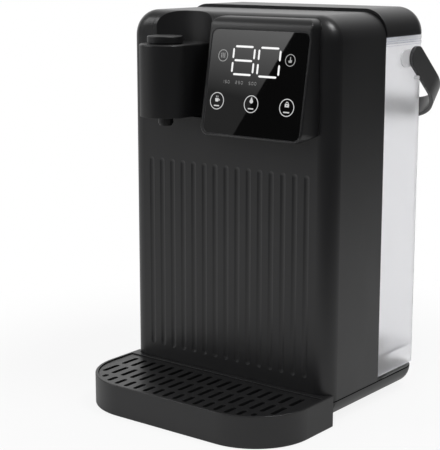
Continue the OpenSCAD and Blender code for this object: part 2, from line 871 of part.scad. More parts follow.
module base_pan() {
  color(black) placed() difference() {
    union() {
      difference() {
        base_form(0);
        base_form(wall);
      }
      for (side = [-1, 1], y = post_ys) translate([side * post_x, y, floor_z - 0.5])
        cylinder(r = post_r, h = base_top - floor_z + 0.5);
      for (side = [-1, 1]) translate([side * 60 - 4, body_d + 6, floor_z - 0.5])
        cube([8, 30, base_top - wall - floor_z + 0.5]);
      translate([gland_x - 9, gland_y - 7, floor_z - 0.5]) cube([18, 7, base_top - wall - floor_z]);
    }
    for (side = [-1, 1], y = post_ys) translate([side * post_x, y, foot_h - past]) {
      cylinder(r = screw_head_r + slip, h = screw_head_t + 2 * past);
      cylinder(r = screw_r + seam, h = base_round + base_lip + 2 * past);
    }
    for (side = [-1, 1])
      translate([side * tab_hook_x - tab_w / 2 - tray_gap, -past, tab_z - rest])
        cube([tab_w + 2 * tray_gap, wall + 2 * past, tab_t + tray_gap + rest]);
    translate([gland_x, 0, gland_z]) {
      rod_y(gland_r + seam, gland_y - 10, gland_y + 20);
      rod_y(gland_flange + seam, gland_y, gland_y + 20);
    }
  }
}

module feet() {
  color(rubber) placed() for (side = [-1, 1], y = [foot_inset / 2, tank_y1 - foot_inset])
    translate([side * (half_w - foot_inset), y, 0])
      rotate_extrude() edge_section(foot_r, foot_h, 1.2, 0);
}

// Cross-shaped recess for a screwdriver, cut upwards from z = 0
module cross_recess() {
  for (turn = [0, 90]) rotate(turn) translate([-2, -0.4, -past]) cube([4, 0.8, past + 0.8]);
}

module base_screws() {
  color(steel) placed() for (side = [-1, 1], y = post_ys)
    translate([side * post_x, y, foot_h + past]) difference() {
      union() {
        cylinder(r = screw_head_r, h = screw_head_t);
        cylinder(r = screw_r, h = base_round + base_lip - past + screw_l);
      }
      cross_recess();
    }
}

module bulkhead_screws() {
  color(steel) placed() for (side = [-1, 1], z = side_post_zs)
    translate([side * side_post_x, bulk_y1 - 0.1, z]) rotate([90, 0, 0]) difference() {
      union() {
        cylinder(r = screw_head_r, h = screw_head_t);
        cylinder(r = screw_r, h = screw_l + wall);
      }
      cross_recess();
    }
}

module dock_deck() {
  half = half_w - wall - seam;
  y1 = tank_y1 - wall - seam;
  tunnel_in = tunnel_half - tunnel_wall;
  color(black) placed() difference() {
    union() {
      translate([0, 0, base_top - wall]) linear_extrude(wall)
        tank_plan(half, bulk_y0, y1, base_corner_r - wall - seam);
      translate([-tunnel_half, bulk_y1 + seam, base_top - 0.5])
        cube([2 * tunnel_half, tunnel_y1 - bulk_y1 - seam, tunnel_z1 - base_top + 0.5]);
    }
    translate([-tunnel_in, bulk_y0 - past, base_top - wall - past])
      cube([2 * tunnel_in, tunnel_y1 - tunnel_wall - bulk_y0 + past,
        tunnel_z1 - tunnel_wall - base_top + wall + past]);
    translate([0, valve_y, base_top]) cylinder(r = socket_r + seam, h = 40);
  }
}

module rear_bulkhead() {
  half = half_w - wall - seam;
  r = corner_r - wall - seam;
  top = body_h - wall - seam;
  color(black) placed() difference() {
    translate([0, bulk_y1, 0]) rotate([90, 0, 0]) linear_extrude(wall) difference() {
      union() {
        translate([-half, base_top]) square([2 * half, top - r - base_top]);
        translate([-half + r, base_top]) square([2 * (half - r), top - base_top]);
        for (side = [-1, 1]) translate([side * (half - r), top - r]) circle(r);
      }
      translate([-hose_r - 2, base_top - past])
        square([2 * hose_r + 4, hose_z - base_top + hose_r + past + 2]);
      for (side = [-1, 1], z = side_post_zs) translate([side * side_post_x, z]) circle(screw_r + seam);
    }
    for (side = [-1, 1], z = side_post_zs) translate([side * side_post_x, 0, z])
      rod_y(screw_head_r + slip, bulk_y1 - screw_head_t - 0.1, bulk_y1 + past);
  }
}

// Corner holes of the power board, as places across and up
board_holes = [for (i = [0, 1], j = [0, 1])
  [board_x0 + 5 + i * (board_w - 10), board_z0 + 5 + j * (board_h - 10)]];

module power_board() {
  color(board_green) placed() translate([0, board_y1, 0]) rotate([90, 0, 0])
    linear_extrude(board_t) difference() {
      translate([board_x0, board_z0]) square([board_w, board_h]);
      for (p = board_holes) translate(p) circle(1.6);
    }
}

module board_standoffs() {
  color("goldenrod") placed() for (p = board_holes) translate([p[0], 0, p[1]]) difference() {
    rod_y(3, board_y1, bulk_y0);
    rod_y(1.5, board_y1 - past, board_y1 + 5);
  }
}

// Relay, choke, capacitors, heat sink and terminal block on the board's front
module board_components() {
  u = board_w / 58;
  v = board_h / 115;
  deep = 2 * standoff_l;
  color("slategray") placed() translate([board_x0, board_y0, board_z0]) {
    translate([6 * u, -deep, 14 * v]) cube([20 * u, deep, 27 * v]);
    translate([32 * u, -1.25 * deep, 14 * v]) cube([20 * u, 1.25 * deep, 26 * v]);
    translate([14 * u, 0, 56 * v]) rotate([90, 0, 0]) cylinder(r = 8 * u, h = 1.5 * deep);
    translate([14 * u, 0, 76 * v]) rotate([90, 0, 0]) cylinder(r = 6 * u, h = 1.1 * deep);
    difference() {
      translate([28 * u, -1.1 * deep, 50 * v]) cube([24 * u, 1.1 * deep, 34 * v]);
      for (i = [0 : 3]) translate([(31 + i * 5) * u, -1.1 * deep - past, 49 * v])
        cube([2.6 * u, 0.9 * deep + past, 36 * v]);
    }
    difference() {
      translate([12 * u, -0.75 * deep, 99 * v]) cube([32 * u, 0.75 * deep, 11 * v]);
      for (i = [0 : 2]) translate([(18 + i * 10) * u, -0.75 * deep - past, 104.5 * v])
        rod_y(2.4 * u, 0, 5);
    }
  }
}

module cord_gland() {
  color(rubber) placed() translate([gland_x, 0, gland_z]) difference() {
    union() {
      rod_y(gland_r, gland_y - 9, gland_y + 0.5);
      rod_y(gland_flange, gland_y, gland_y + 2);
    }
    rod_y(3.6, gland_y - 10, gland_y + 3);
  }
}

// Pivot pad on the tank's side, as an outline in depth and height
module pivot_pad() {
  union() {
    translate([pivot_y, pivot_z]) circle(pad_r);
    translate([pivot_y - pad_l, pivot_z]) circle(pad_r);
    translate([pivot_y - pad_l, pivot_z - pad_r]) square([pad_l, 2 * pad_r]);
  }
}

// Point on the hanging handle: s along the arm from the pivot, w across it
function arm_point(s, w) = [
  pivot_y + s * cos(handle_hang) + w * sin(handle_hang),
  pivot_z - s * sin(handle_hang) + w * cos(handle_hang)
];

module tank_shell() {
  in_r = tank_corner_r - tank_wall;
  color(frost) placed() difference() {
    union() {
      translate([0, 0, tank_z0]) linear_extrude(tank_z1 - tank_z0)
        tank_plan(tank_half, tank_y0, tank_y1, tank_corner_r);
      for (z = [[tank_z1 - rim_band, rim_band], [tank_z1 - rim_h, rim_bead]])
        translate([0, 0, z[0]]) linear_extrude(z[1])
          tank_plan(tank_half + 0.5, tank_y0, tank_y1 + 0.5, tank_corner_r + 0.5);
    }
    translate([0, 0, tank_floor]) linear_extrude(tank_z1 - tank_floor + past)
      tank_plan(tank_in_half, tank_in_y0, tank_in_y1, in_r);
    translate([0, 0, tank_z0 - past]) linear_extrude(skirt_top - tank_z0 + past)
      tank_plan(tank_in_half, tank_in_y0, tank_in_y1, in_r);
    translate([-tunnel_half - past, tank_y0 - past, tank_z0 - past])
      cube([2 * (tunnel_half + past), tank_wall + 2 * past, tunnel_z1 - tank_z0 + 2 * past]);
    translate([0, valve_y, skirt_top - past]) cylinder(r = spigot_r + run, h = tank_wall + 2 * past);
    for (side = [0, 1]) mirror([side, 0, 0])
      translate([tank_in_half - past, pivot_y, pivot_z]) rotate([0, 90, 0])
        cylinder(r = bush_r + run, h = tank_wall + 2 * past);
  }
}

// Studs under the tank's floor that stand on the dock
module tank_feet() {
  color(rubber) placed() for (i = [-1, 1], j = [-1, 1])
    translate([i * leg_x, valve_y + j * leg_dy, base_top + rest])
      cylinder(r = 5, h = skirt_top - base_top - rest);
}

// Studs on the tank's sides that the arms of the hanging handle lie on
module grip_rests() {
  p = arm_point(stop_s, -handle_w / 2 - stop_r - rest);
  color(frost) placed() for (side = [0, 1]) mirror([side, 0, 0])
    translate([tank_half, p[0], p[1]]) rotate([0, 90, 0])
      cylinder(r = stop_r, h = arm_x1 - 0.5 - tank_half);
}

// Pads with a blind bush that goes through the tank's side wall and holds the pivot pin
module pivot_bushes() {
  color(frost) placed() for (side = [0, 1]) mirror([side, 0, 0]) difference() {
    union() {
      translate([tank_half, 0, 0]) rotate([90, 0, 90]) linear_extrude(boss_t) pivot_pad();
      translate([tank_in_half - 3, pivot_y, pivot_z]) rotate([0, 90, 0])
        cylinder(r = bush_r, h = tank_wall + 3.5);
    }
    translate([tank_in_half - 1, pivot_y, pivot_z]) rotate([0, 90, 0]) cylinder(r = pin_r, h = 20);
  }
}

// Outlet of the tank: a tube with a flange under the floor and a guide for the valve's stem
module valve_spigot() {
  color(frost) placed() translate([0, valve_y, 0]) difference() {
    union() {
      translate([0, 0, tunnel_z1 - 6]) cylinder(r = spigot_r, h = tank_floor - tunnel_z1 + 6);
      translate([0, 0, skirt_top - spigot_flange]) cylinder(r = spigot_r + 3, h = spigot_flange);
    }
    difference() {
      translate([0, 0, tunnel_z1 - 7]) cylinder(r = spigot_bore, h = 40);
      translate([0, 0, tank_floor - 4.5]) {
        cylinder(r = stem_r + 1.6, h = 4);
        for (i = [0 : 2]) rotate(i * 120) translate([0, -0.8, 0]) cube([spigot_r, 1.6, 4]);
      }
    }
    translate([0, 0, tank_floor - 10]) cylinder(r = stem_r + run, h = 20);
  }
}

module valve_seal() {
  color(rubber) placed() translate([0, valve_y, tank_floor]) rotate_extrude()
    translate([spigot_bore + 0.3, 0]) square([spigot_r - spigot_bore - 0.3, seal_t]);
}

module valve_cage() {
  h = cage_z1 - tank_floor;
  color("whitesmoke") placed() translate([0, valve_y, tank_floor]) difference() {
    cylinder(r = cage_r, h = h);
    translate([0, 0, -past]) cylinder(r = cage_r - cage_t, h = h - cage_t + past);
    translate([0, 0, h - 2 * cage_t]) cylinder(r = stem_r + run, h = 3 * cage_t);
    for (i = [0 : 5]) rotate(i * 60) translate([0, -4, 2]) cube([2 * cage_r, 8, h - cage_t - 4]);
  }
}

// Wound spring as one unbroken tube of six-sided rings
module valve_spring() {
  sides = 6;
  per_turn = 12;
  rings = spring_turns * per_turn;
  pts = [for (i = [0 : rings], k = [0 : sides - 1])
    let (a = i * 360 / per_turn, b = k * 360 / sides, rr = spring_r + spring_wire * cos(b))
    [rr * cos(a), rr * sin(a), (spring_z1 - spring_z0) * i / rings + spring_wire * sin(b)]];
  low_cap = [for (k = [0 : sides - 1]) k];
  high_cap = [for (k = [sides - 1 : -1 : 0]) rings * sides + k];
  side_a = [for (i = [0 : rings - 1], k = [0 : sides - 1])
    [i * sides + k, (i + 1) * sides + k, i * sides + (k + 1) % sides]];
  side_b = [for (i = [0 : rings - 1], k = [0 : sides - 1])
    [i * sides + (k + 1) % sides, (i + 1) * sides + k, (i + 1) * sides + (k + 1) % sides]];
  echo(spring_gap = (spring_z1 - spring_z0) / spring_turns - 2 * spring_wire);
  color(steel) placed() translate([0, valve_y, spring_z0])
    polyhedron(points = pts, faces = concat([low_cap, high_cap], side_a, side_b));
}

module valve_poppet() {
  color(soft_black) placed() translate([0, valve_y, 0]) rotate_extrude() union() {
    translate([0, pin_tip + rest]) square([stem_r, cage_z1 + 1.5 - pin_tip - rest]);
    translate([0, poppet_z]) square([poppet_r, poppet_t]);
  }
}

module handle_pins() {
  color(steel) placed() for (side = [0, 1]) mirror([side, 0, 0])
    translate([tank_in_half - 1, pivot_y, pivot_z]) rotate([0, 90, 0])
      cylinder(r = pin_r, h = arm_x1 - skin - rest - tank_in_half + 1);
}

// Strap handle: two arms with round ends and a grip with round outside corners
module handle() {
  in_r = handle_corner_r - handle_t;
  color(soft_black) placed() translate([0, pivot_y, pivot_z]) rotate([-handle_hang, 0, 0])
    difference() {
      union() {
        for (side = [0, 1]) mirror([side, 0, 0]) {
          translate([arm_x0, 0, -handle_w / 2])
            cube([handle_t, handle_reach - handle_corner_r, handle_w]);
          translate([arm_x0, 0, 0]) rotate([0, 90, 0]) cylinder(r = handle_w / 2, h = handle_t);
          translate([arm_x1 - handle_corner_r, handle_reach - handle_corner_r, -handle_w / 2])
            rotate_extrude(angle = 90) translate([in_r, 0]) square([handle_t, handle_w]);
        }
        translate([-arm_x1 + handle_corner_r, handle_reach - handle_t, -handle_w / 2])
          cube([2 * (arm_x1 - handle_corner_r), handle_t, handle_w]);
      }
      for (side = [0, 1]) mirror([side, 0, 0]) rotate([0, 90, 0])
        translate([0, 0, arm_x0 - past]) cylinder(r = pin_r + run, h = handle_t - skin + past);
    }
}

// Lid form, drawn in by a margin
module lid_form(inset, z0) {
  mirror([0, 1, 0])
    arch_block(half_w - inset, corner_r - inset, lid_rear_r - inset, inset - tank_y1, -lid_y0 - inset,
      z0, lid_top - inset);
}

module lid() {
  plug = tank_in_half - 0.9;
  plug_y0 = lid_y0 + wall + 0.4;
  plug_y1 = tank_in_y1 - 0.9;
  color(black) placed() union() {
    difference() {
      lid_form(0, lid_z0);
      lid_form(wall, lid_z0 - past);
    }
    translate([0, 0, lid_z0 - 6]) linear_extrude(10) difference() {
      tank_plan(plug, plug_y0, plug_y1, tank_corner_r - tank_wall);
      tank_plan(plug - 2, plug_y0 + 2, plug_y1 - 2, tank_corner_r - tank_wall - 2);
    }
    translate([0, 0, lid_z0]) linear_extrude(2.5) difference() {
      tank_plan(half_w - 1, lid_y0 + 1, tank_y1 - 1, tank_corner_r - 0.5);
      tank_plan(plug - 1, plug_y0 + 1, plug_y1 - 1, tank_corner_r - tank_wall - 1);
    }
  }
}

module lid_seal() {
  color(rubber) placed() translate([0, 0, tank_z1]) linear_extrude(gasket_t) difference() {
    tank_plan(tank_half - 0.3, lid_y0 + 0.2, tank_y1 - 0.3, tank_corner_r - 0.3);
    tank_plan(tank_in_half + 0.5, tank_in_y0 - 0.2, tank_in_y1 + 0.5, tank_corner_r - tank_wall + 0.5);
  }
}

// Plan of the tray, drawn in by a margin and closed at a given depth
module tray_plan(inset, y1) {
  r = tray_corner_r - inset;
  half = tray_w / 2 - inset;
  y0 = inset - tray_reach;
  union() {
    translate([-half, y0 + r]) square([2 * half, y1 - y0 - r]);
    translate([-half + r, y0]) square([2 * (half - r), y1 - y0]);
    for (side = [-1, 1]) translate([side * (half - r), y0 + r]) intersection() {
      circle(r);
      translate([-r, -r]) square([2 * r, r]);
    }
  }
}

module drip_tray() {
  d = tray_reach + tray_corner_r + 20;
  color(black) placed() difference() {
    union() {
      difference() {
        intersection() {
          translate([0, d / 2 - tray_reach, tray_clear])
            soft_block(tray_w, d, tray_top - tray_clear, tray_corner_r, 1.2, 0.8);
          translate([-tray_w, -2 * tray_reach, 0]) cube([2 * tray_w, 2 * tray_reach + tray_horn, 60]);
        }
        translate([0, 0, -past]) linear_extrude(60) body_plan(tray_gap, 60);
      }
      for (side = [-1, 1]) {
        translate([side * tab_hook_x - tab_w / 2, -tray_gap - 1, tab_z]) cube([tab_w, tab_l, tab_t]);
        translate([side * 45, -40, 0]) cylinder(r = 6, h = tray_clear + 0.5);
      }
    }
    translate([0, 0, grid_z]) linear_extrude(20) tray_plan(tray_wall, -grid_rear);
    translate([0, 0, tray_clear + 2]) linear_extrude(40)
      tray_plan(tray_wall + 2.6, -grid_rear - 2.6);
  }
}

// Front edge of the grid at a place across it
function grid_front(x, inset) =
  let (r = tray_corner_r - inset, c = tray_w / 2 - tray_corner_r, over = max(0, abs(x) - c))
  tray_corner_r - tray_reach - sqrt(max(0, r * r - over * over));

module drip_grid() {
  inset = tray_wall + tray_gap;
  first = -grid_rear - 7;
  reach = tray_w / 2 - inset - 6;
  count = floor(reach / slot_pitch + 0.5);
  color(black) placed() translate([0, 0, grid_z]) linear_extrude(grid_t) difference() {
    tray_plan(inset, -grid_rear - tray_gap);
    for (i = [-count : count - 1], row = [0 : 2]) {
      x = (i + 0.5) * slot_pitch;
      y1 = first - row * slot_row;
      y0 = max(y1 - slot_l, grid_front(x, inset) + 2.4);
      if (y1 - y0 > 1.6 * slot_w) translate([x, 0]) union() {
        translate([-slot_w / 2, y0 + slot_w / 2]) square([slot_w, y1 - y0 - slot_w]);
        translate([0, y0 + slot_w / 2]) circle(slot_w / 2);
        translate([0, y1 - slot_w / 2]) circle(slot_w / 2);
      }
    }
  }
}

housing_shell();
head_case();
display_glass();
display_board();
digit_module();
niche_wall();
nose_shell();
nose_floor();
spout_cap();
spout_nozzle();
outlet_hose();
heater_tube();
heater_caps();
heater_bracket();
thermal_cutouts();
temperature_probe();
pump_hose();
pump_body();
pump_motor();
pump_cradle();
pump_impeller();
inlet_hose();
tank_socket();
socket_seal();
dock_deck();
rear_bulkhead();
base_pan();
feet();
base_screws();
bulkhead_screws();
power_board();
board_components();
board_standoffs();
cord_gland();
tank_shell();
tank_feet();
grip_rests();
pivot_bushes();
valve_spigot();
valve_seal();
valve_cage();
valve_spring();
valve_poppet();
handle_pins();
handle();
lid();
lid_seal();
drip_tray();
drip_grid();
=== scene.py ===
import math

import bmesh
import bpy
from mathutils import Matrix, Vector
from mathutils.geometry import convex_hull_2d


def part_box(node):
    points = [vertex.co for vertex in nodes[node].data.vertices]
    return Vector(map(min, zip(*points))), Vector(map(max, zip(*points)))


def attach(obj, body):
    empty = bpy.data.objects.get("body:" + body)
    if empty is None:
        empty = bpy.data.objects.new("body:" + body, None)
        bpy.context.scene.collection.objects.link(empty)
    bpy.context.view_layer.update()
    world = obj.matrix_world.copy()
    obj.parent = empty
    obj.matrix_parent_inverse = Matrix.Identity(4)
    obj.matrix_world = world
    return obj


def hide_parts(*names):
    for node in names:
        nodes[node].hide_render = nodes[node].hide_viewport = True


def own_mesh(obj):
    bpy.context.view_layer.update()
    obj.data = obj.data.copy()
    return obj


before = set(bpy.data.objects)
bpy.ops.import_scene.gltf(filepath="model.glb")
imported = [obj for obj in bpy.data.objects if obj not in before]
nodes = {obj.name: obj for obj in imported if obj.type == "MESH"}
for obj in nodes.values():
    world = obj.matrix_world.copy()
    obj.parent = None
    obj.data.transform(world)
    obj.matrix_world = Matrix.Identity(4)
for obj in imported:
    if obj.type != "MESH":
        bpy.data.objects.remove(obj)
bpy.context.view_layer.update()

# Front plane of the housing, and the leaning display face measured from its lower edge
FRONT_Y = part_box("housing_shell")[0].y
FACE_REACH = 0.025
FACE_Z = 0.2265
FACE_LEAN = math.radians(10)
MM = 0.001


def add_node(tree, kind, place, **settings):
    """A node of a tree at a place, with plain settings and named input values."""
    node = tree.nodes.new(kind)
    node.location = place
    for name, value in settings.items():
        if name == "inputs":
            for socket, number in value.items():
                node.inputs[socket].default_value = number
        else:
            setattr(node, name, value)
    return node


def new_group(name, inputs, outputs):
    """An empty shader node group with named float inputs and typed outputs."""
    tree = bpy.data.node_groups.new(name, "ShaderNodeTree")
    for label, value in inputs.items():
        socket = tree.interface.new_socket(label, in_out="INPUT", socket_type="NodeSocketFloat")
        socket.default_value = value
    for label, kind in outputs.items():
        tree.interface.new_socket(label, in_out="OUTPUT", socket_type=kind)
    way_in = add_node(tree, "NodeGroupInput", (-900, 0))
    way_out = add_node(tree, "NodeGroupOutput", (900, 0))
    return tree, way_in, way_out


def place_group(tree, group, place, **values):
    """A shared group in a material, with its own values; an underscore in a name stands for a space."""
    node = add_node(tree, "ShaderNodeGroup", place, node_tree=group)
    for label, value in values.items():
        node.inputs[label.replace("_", " ")].default_value = value
    return node


def build_moulding_grain():
    """Spark-eroded mould texture: fine pits and slow waves of tone, in object millimetres."""
    tree, way_in, way_out = new_group(
        "moulding grain",
        {"Grain size mm": 0.6, "Cloud size mm": 60.0},
        {"Height": "NodeSocketFloat", "Cloud": "NodeSocketFloat"},
    )
    link = tree.links.new
    coord = add_node(tree, "ShaderNodeTexCoord", (-900, -300))
    fine_scale = add_node(tree, "ShaderNodeMath", (-650, 150), operation="DIVIDE", inputs={0: 1000.0})
    cloud_scale = add_node(tree, "ShaderNodeMath", (-650, -100), operation="DIVIDE", inputs={0: 1000.0})
    link(way_in.outputs["Grain size mm"], fine_scale.inputs[1])
    link(way_in.outputs["Cloud size mm"], cloud_scale.inputs[1])
    pits = add_node(tree, "ShaderNodeTexNoise", (-350, 250), inputs={"Detail": 2.0, "Roughness": 0.6})
    cells = add_node(tree, "ShaderNodeTexVoronoi", (-350, 0), feature="SMOOTH_F1")
    cloud = add_node(tree, "ShaderNodeTexNoise", (-350, -300), inputs={"Detail": 3.0, "Roughness": 0.5})
    for texture, scale in ((pits, fine_scale), (cells, fine_scale), (cloud, cloud_scale)):
        link(coord.outputs["Object"], texture.inputs["Vector"])
        link(scale.outputs[0], texture.inputs["Scale"])
    mixed = add_node(tree, "ShaderNodeMath", (0, 150), operation="MULTIPLY_ADD", inputs={1: 0.5})
    link(cells.outputs["Distance"], mixed.inputs[0])
    link(pits.outputs["Fac"], mixed.inputs[2])
    link(mixed.outputs[0], way_out.inputs["Height"])
    link(cloud.outputs["Fac"], way_out.inputs["Cloud"])
    return tree


def build_soft_edge():
    """Rounded look of moulded corners: the bent normal, and a mask that marks the edge itself."""
    tree, way_in, way_out = new_group(
        "soft edge", {"Edge radius mm": 0.5},
        {"Normal": "NodeSocketVector", "Edge": "NodeSocketFloat"},
    )
    link = tree.links.new
    metres = add_node(tree, "ShaderNodeMath", (-650, 100), operation="MULTIPLY", inputs={1: MM})
    bevel = add_node(tree, "ShaderNodeBevel", (-400, 100), samples=6)
    surface = add_node(tree, "ShaderNodeNewGeometry", (-400, -150))
    dot = add_node(tree, "ShaderNodeVectorMath", (-150, 0), operation="DOT_PRODUCT")
    mask = add_node(tree, "ShaderNodeMapRange", (100, 0),
                    inputs={"From Min": 0.99, "From Max": 0.75, "To Min": 0.0, "To Max": 1.0})
    link(way_in.outputs["Edge radius mm"], metres.inputs[0])
    link(metres.outputs[0], bevel.inputs["Radius"])
    link(bevel.outputs["Normal"], dot.inputs[0])
    link(surface.outputs["Normal"], dot.inputs[1])
    link(dot.outputs["Value"], mask.inputs["Value"])
    link(bevel.outputs["Normal"], way_out.inputs["Normal"])
    link(mask.outputs["Result"], way_out.inputs["Edge"])
    return tree


def build_wipe_marks():
    """Faint wipe marks: long soft streaks broken by blots."""
    tree, way_in, way_out = new_group(
        "wipe marks", {"Smudge size mm": 25.0, "Cover": 0.5}, {"Smudge": "NodeSocketFloat"},
    )
    link = tree.links.new
    coord = add_node(tree, "ShaderNodeTexCoord", (-900, -300))
    scale = add_node(tree, "ShaderNodeMath", (-650, 100), operation="DIVIDE", inputs={0: 1000.0})
    stretch = add_node(tree, "ShaderNodeMapping", (-650, -250), inputs={"Scale": (1.0, 1.0, 0.35)})
    wipes = add_node(tree, "ShaderNodeTexNoise", (-350, 100),
                     inputs={"Detail": 4.0, "Roughness": 0.55, "Distortion": 0.6})
    low = add_node(tree, "ShaderNodeMath", (-350, -250), operation="SUBTRACT", inputs={0: 1.0})
    rise = add_node(tree, "ShaderNodeMath", (-100, -250), operation="ADD", inputs={1: 0.25})
    shaped = add_node(tree, "ShaderNodeMapRange", (150, 0))
    link(way_in.outputs["Smudge size mm"], scale.inputs[1])
    link(coord.outputs["Object"], stretch.inputs["Vector"])
    link(stretch.outputs["Vector"], wipes.inputs["Vector"])
    link(scale.outputs[0], wipes.inputs["Scale"])
    link(way_in.outputs["Cover"], low.inputs[1])
    link(low.outputs[0], rise.inputs[0])
    link(wipes.outputs["Fac"], shaped.inputs["Value"])
    link(low.outputs[0], shaped.inputs["From Min"])
    link(rise.outputs[0], shaped.inputs["From Max"])
    link(shaped.outputs["Result"], way_out.inputs["Smudge"])
    return tree


GRAIN = build_moulding_grain()
SOFT_EDGE = build_soft_edge()
SMUDGE = build_wipe_marks()


def start_material(name):
    """A material with its Principled shader, ready for its own nodes."""
    material = bpy.data.materials.new(name)
    material.use_nodes = True
    tree = material.node_tree
    shader = tree.nodes["Principled BSDF"]
    return material, tree, shader


def bare_tree(owner):
    """The emptied node tree of a material or world."""
    owner.use_nodes = True
    owner.node_tree.nodes.clear()
    return owner.node_tree


def tone_mix(tree, place, mask, dark, light):
    """Two tones of one colour, mixed by a mask output."""
    mix = add_node(tree, "ShaderNodeMix", place, data_type="RGBA")
    mix.inputs["A"].default_value = (*dark, 1.0)
    mix.inputs["B"].default_value = (*light, 1.0)
    tree.links.new(mask, mix.inputs["Factor"])
    return mix.outputs["Result"]


def tone_over(tree, place, mask, under, tone):
    """One fixed tone laid over a colour output where a mask says."""
    mix = add_node(tree, "ShaderNodeMix", place, data_type="RGBA")
    mix.inputs["B"].default_value = (*tone, 1.0)
    tree.links.new(mask, mix.inputs["Factor"])
    tree.links.new(under, mix.inputs["A"])
    return mix.outputs["Result"]


def value_range(tree, place, value, low, high):
    """A value output between 0 and 1, brought between two other values."""
    span = add_node(tree, "ShaderNodeMapRange", place, inputs={"To Min": low, "To Max": high})
    tree.links.new(value, span.inputs["Value"])
    return span.outputs["Result"]


def pressed_normal(tree, place, height, strength, depth, under=None):
    """The normal of a skin with a height pattern pressed into it, over an earlier normal if there is one."""
    bump = add_node(tree, "ShaderNodeBump", place, inputs={"Strength": strength, "Distance": depth})
    tree.links.new(height, bump.inputs["Height"])
    if under is not None:
        tree.links.new(under, bump.inputs["Normal"])
    return bump.outputs["Normal"]


def grey(level, blue=0.0):
    """A neutral tone, a little bluer or, with less than zero, a little yellower."""
    return (level, level, level + blue)


def moulded_plastic(name, dark, light, rough, grain_mm, bump, edge_mm,
                    gloss=0.5, edge_shade_tone=None, edge_part=0.35, edge_rough=0.0):
    """Injection-moulded plastic: pitted skin, soft corners, faint wipes, and a tone at the edges: lighter by
    default, for rubbed wear and a painted highlight, and near black where a dark tone is given, as painted
    shade.
    """
    material, tree, shader = start_material(name)
    link = tree.links.new
    grain = place_group(tree, GRAIN, (-900, 200), Grain_size_mm=grain_mm, Cloud_size_mm=70.0)
    edge = place_group(tree, SOFT_EDGE, (-900, -100), Edge_radius_mm=edge_mm)
    smudge = place_group(tree, SMUDGE, (-900, -350), Smudge_size_mm=30.0, Cover=0.45)
    # Edge colour: lighter by default, for rubbed wear and a painted highlight; a given dark tone paints shade
    # along the edges
    edge_wear_sheen_and_shade = edge_shade_tone or [min(1.0, c * 1.6 + 0.004) for c in light]
    tone = tone_mix(tree, (-500, 300), grain.outputs["Cloud"], dark, light)
    share = value_range(tree, (-500, 50), edge.outputs["Edge"], 0.0, edge_part)
    link(tone_over(tree, (-250, 300), share, tone, edge_wear_sheen_and_shade), shader.inputs["Base Color"])
    base = value_range(tree, (-500, -150), grain.outputs["Cloud"], rough - 0.04, rough + 0.04)
    wiped = add_node(tree, "ShaderNodeMath", (-250, -150), operation="MULTIPLY_ADD", inputs={1: -0.06})
    link(smudge.outputs["Smudge"], wiped.inputs[0])
    link(base, wiped.inputs[2])
    dulled = add_node(tree, "ShaderNodeMath", (-50, -150), operation="MULTIPLY_ADD", inputs={1: edge_rough})
    link(edge.outputs["Edge"], dulled.inputs[0])
    link(wiped.outputs[0], dulled.inputs[2])
    link(dulled.outputs[0], shader.inputs["Roughness"])
    pits = grain.outputs["Height"]
    skin = pressed_normal(tree, (-250, -400), pits, bump, 0.06 * MM, edge.outputs["Normal"])
    link(skin, shader.inputs["Normal"])
    shader.inputs["Specular IOR Level"].default_value = gloss
    return material


def polished_panel():
    """Black display panel: deep gloss, a painted highlight along its edge, and the faintest wiped film."""
    material, tree, shader = start_material("display panel")
    link = tree.links.new
    grain = place_group(tree, GRAIN, (-900, 200), Grain_size_mm=4.0, Cloud_size_mm=35.0)
    smudge = place_group(tree, SMUDGE, (-900, -200), Smudge_size_mm=18.0, Cover=0.4)
    edge = place_group(tree, SOFT_EDGE, (-900, -450), Edge_radius_mm=0.7)
    tone = tone_mix(tree, (-500, 250), grain.outputs["Cloud"], grey(0.0006), grey(0.0011, 0.0001))
    # Painted highlight: a pale grey band along the panel's edges
    painted_edge_highlight = tone_over(tree, (-250, 250), edge.outputs["Edge"], tone, grey(0.10, 0.004))
    link(painted_edge_highlight, shader.inputs["Base Color"])
    film = value_range(tree, (-500, -100), smudge.outputs["Smudge"], 0.012, 0.03)
    link(film, shader.inputs["Roughness"])
    ripple = pressed_normal(tree, (-250, -300), grain.outputs["Cloud"], 0.02, 0.2 * MM)
    link(ripple, shader.inputs["Normal"])
    return material


def lit_mark(name, level, strength):
    """Light from behind the panel, a little uneven over each mark."""
    material, tree, shader = start_material(name)
    link = tree.links.new
    grain = place_group(tree, GRAIN, (-900, 200), Grain_size_mm=0.5, Cloud_size_mm=5.0)
    glow = tone_mix(tree, (-500, 200), grain.outputs["Cloud"], grey(level * 0.86), grey(level))
    link(glow, shader.inputs["Emission Color"])
    dull = value_range(tree, (-500, -100), grain.outputs["Cloud"], 0.35, 0.5)
    link(dull, shader.inputs["Roughness"])
    shader.inputs["Base Color"].default_value = (*grey(0.02), 1.0)
    shader.inputs["Emission Strength"].default_value = strength
    return material


def frosted_tank():
    """Milky see-through plastic: a fine blasted skin, slow flow clouds, and painted shade at the edges, a
    darker violet for the greater depth of plastic seen there.
    """
    material, tree, shader = start_material("frosted tank")
    link = tree.links.new
    grain = place_group(tree, GRAIN, (-900, 250), Grain_size_mm=0.8, Cloud_size_mm=45.0)
    edge = place_group(tree, SOFT_EDGE, (-900, -100), Edge_radius_mm=1.2)
    wall = tone_mix(tree, (-500, 300), grain.outputs["Cloud"], grey(0.965, 0.015), grey(0.985, 0.01))
    # Painted shade: the edges are painted a darker violet, for the look through more of the wall
    edge_depth_shade = tone_over(tree, (-250, 300), edge.outputs["Edge"], wall, (0.40, 0.39, 0.52))
    link(edge_depth_shade, shader.inputs["Base Color"])
    frost = value_range(tree, (-500, 0), grain.outputs["Cloud"], 0.355, 0.385)
    link(frost, shader.inputs["Roughness"])
    skin = pressed_normal(tree, (-250, -300), grain.outputs["Height"], 0.09, 0.1 * MM)
    link(skin, shader.inputs["Normal"])
    shader.inputs["Transmission Weight"].default_value = 0.89
    shader.inputs["IOR"].default_value = 1.2
    return material


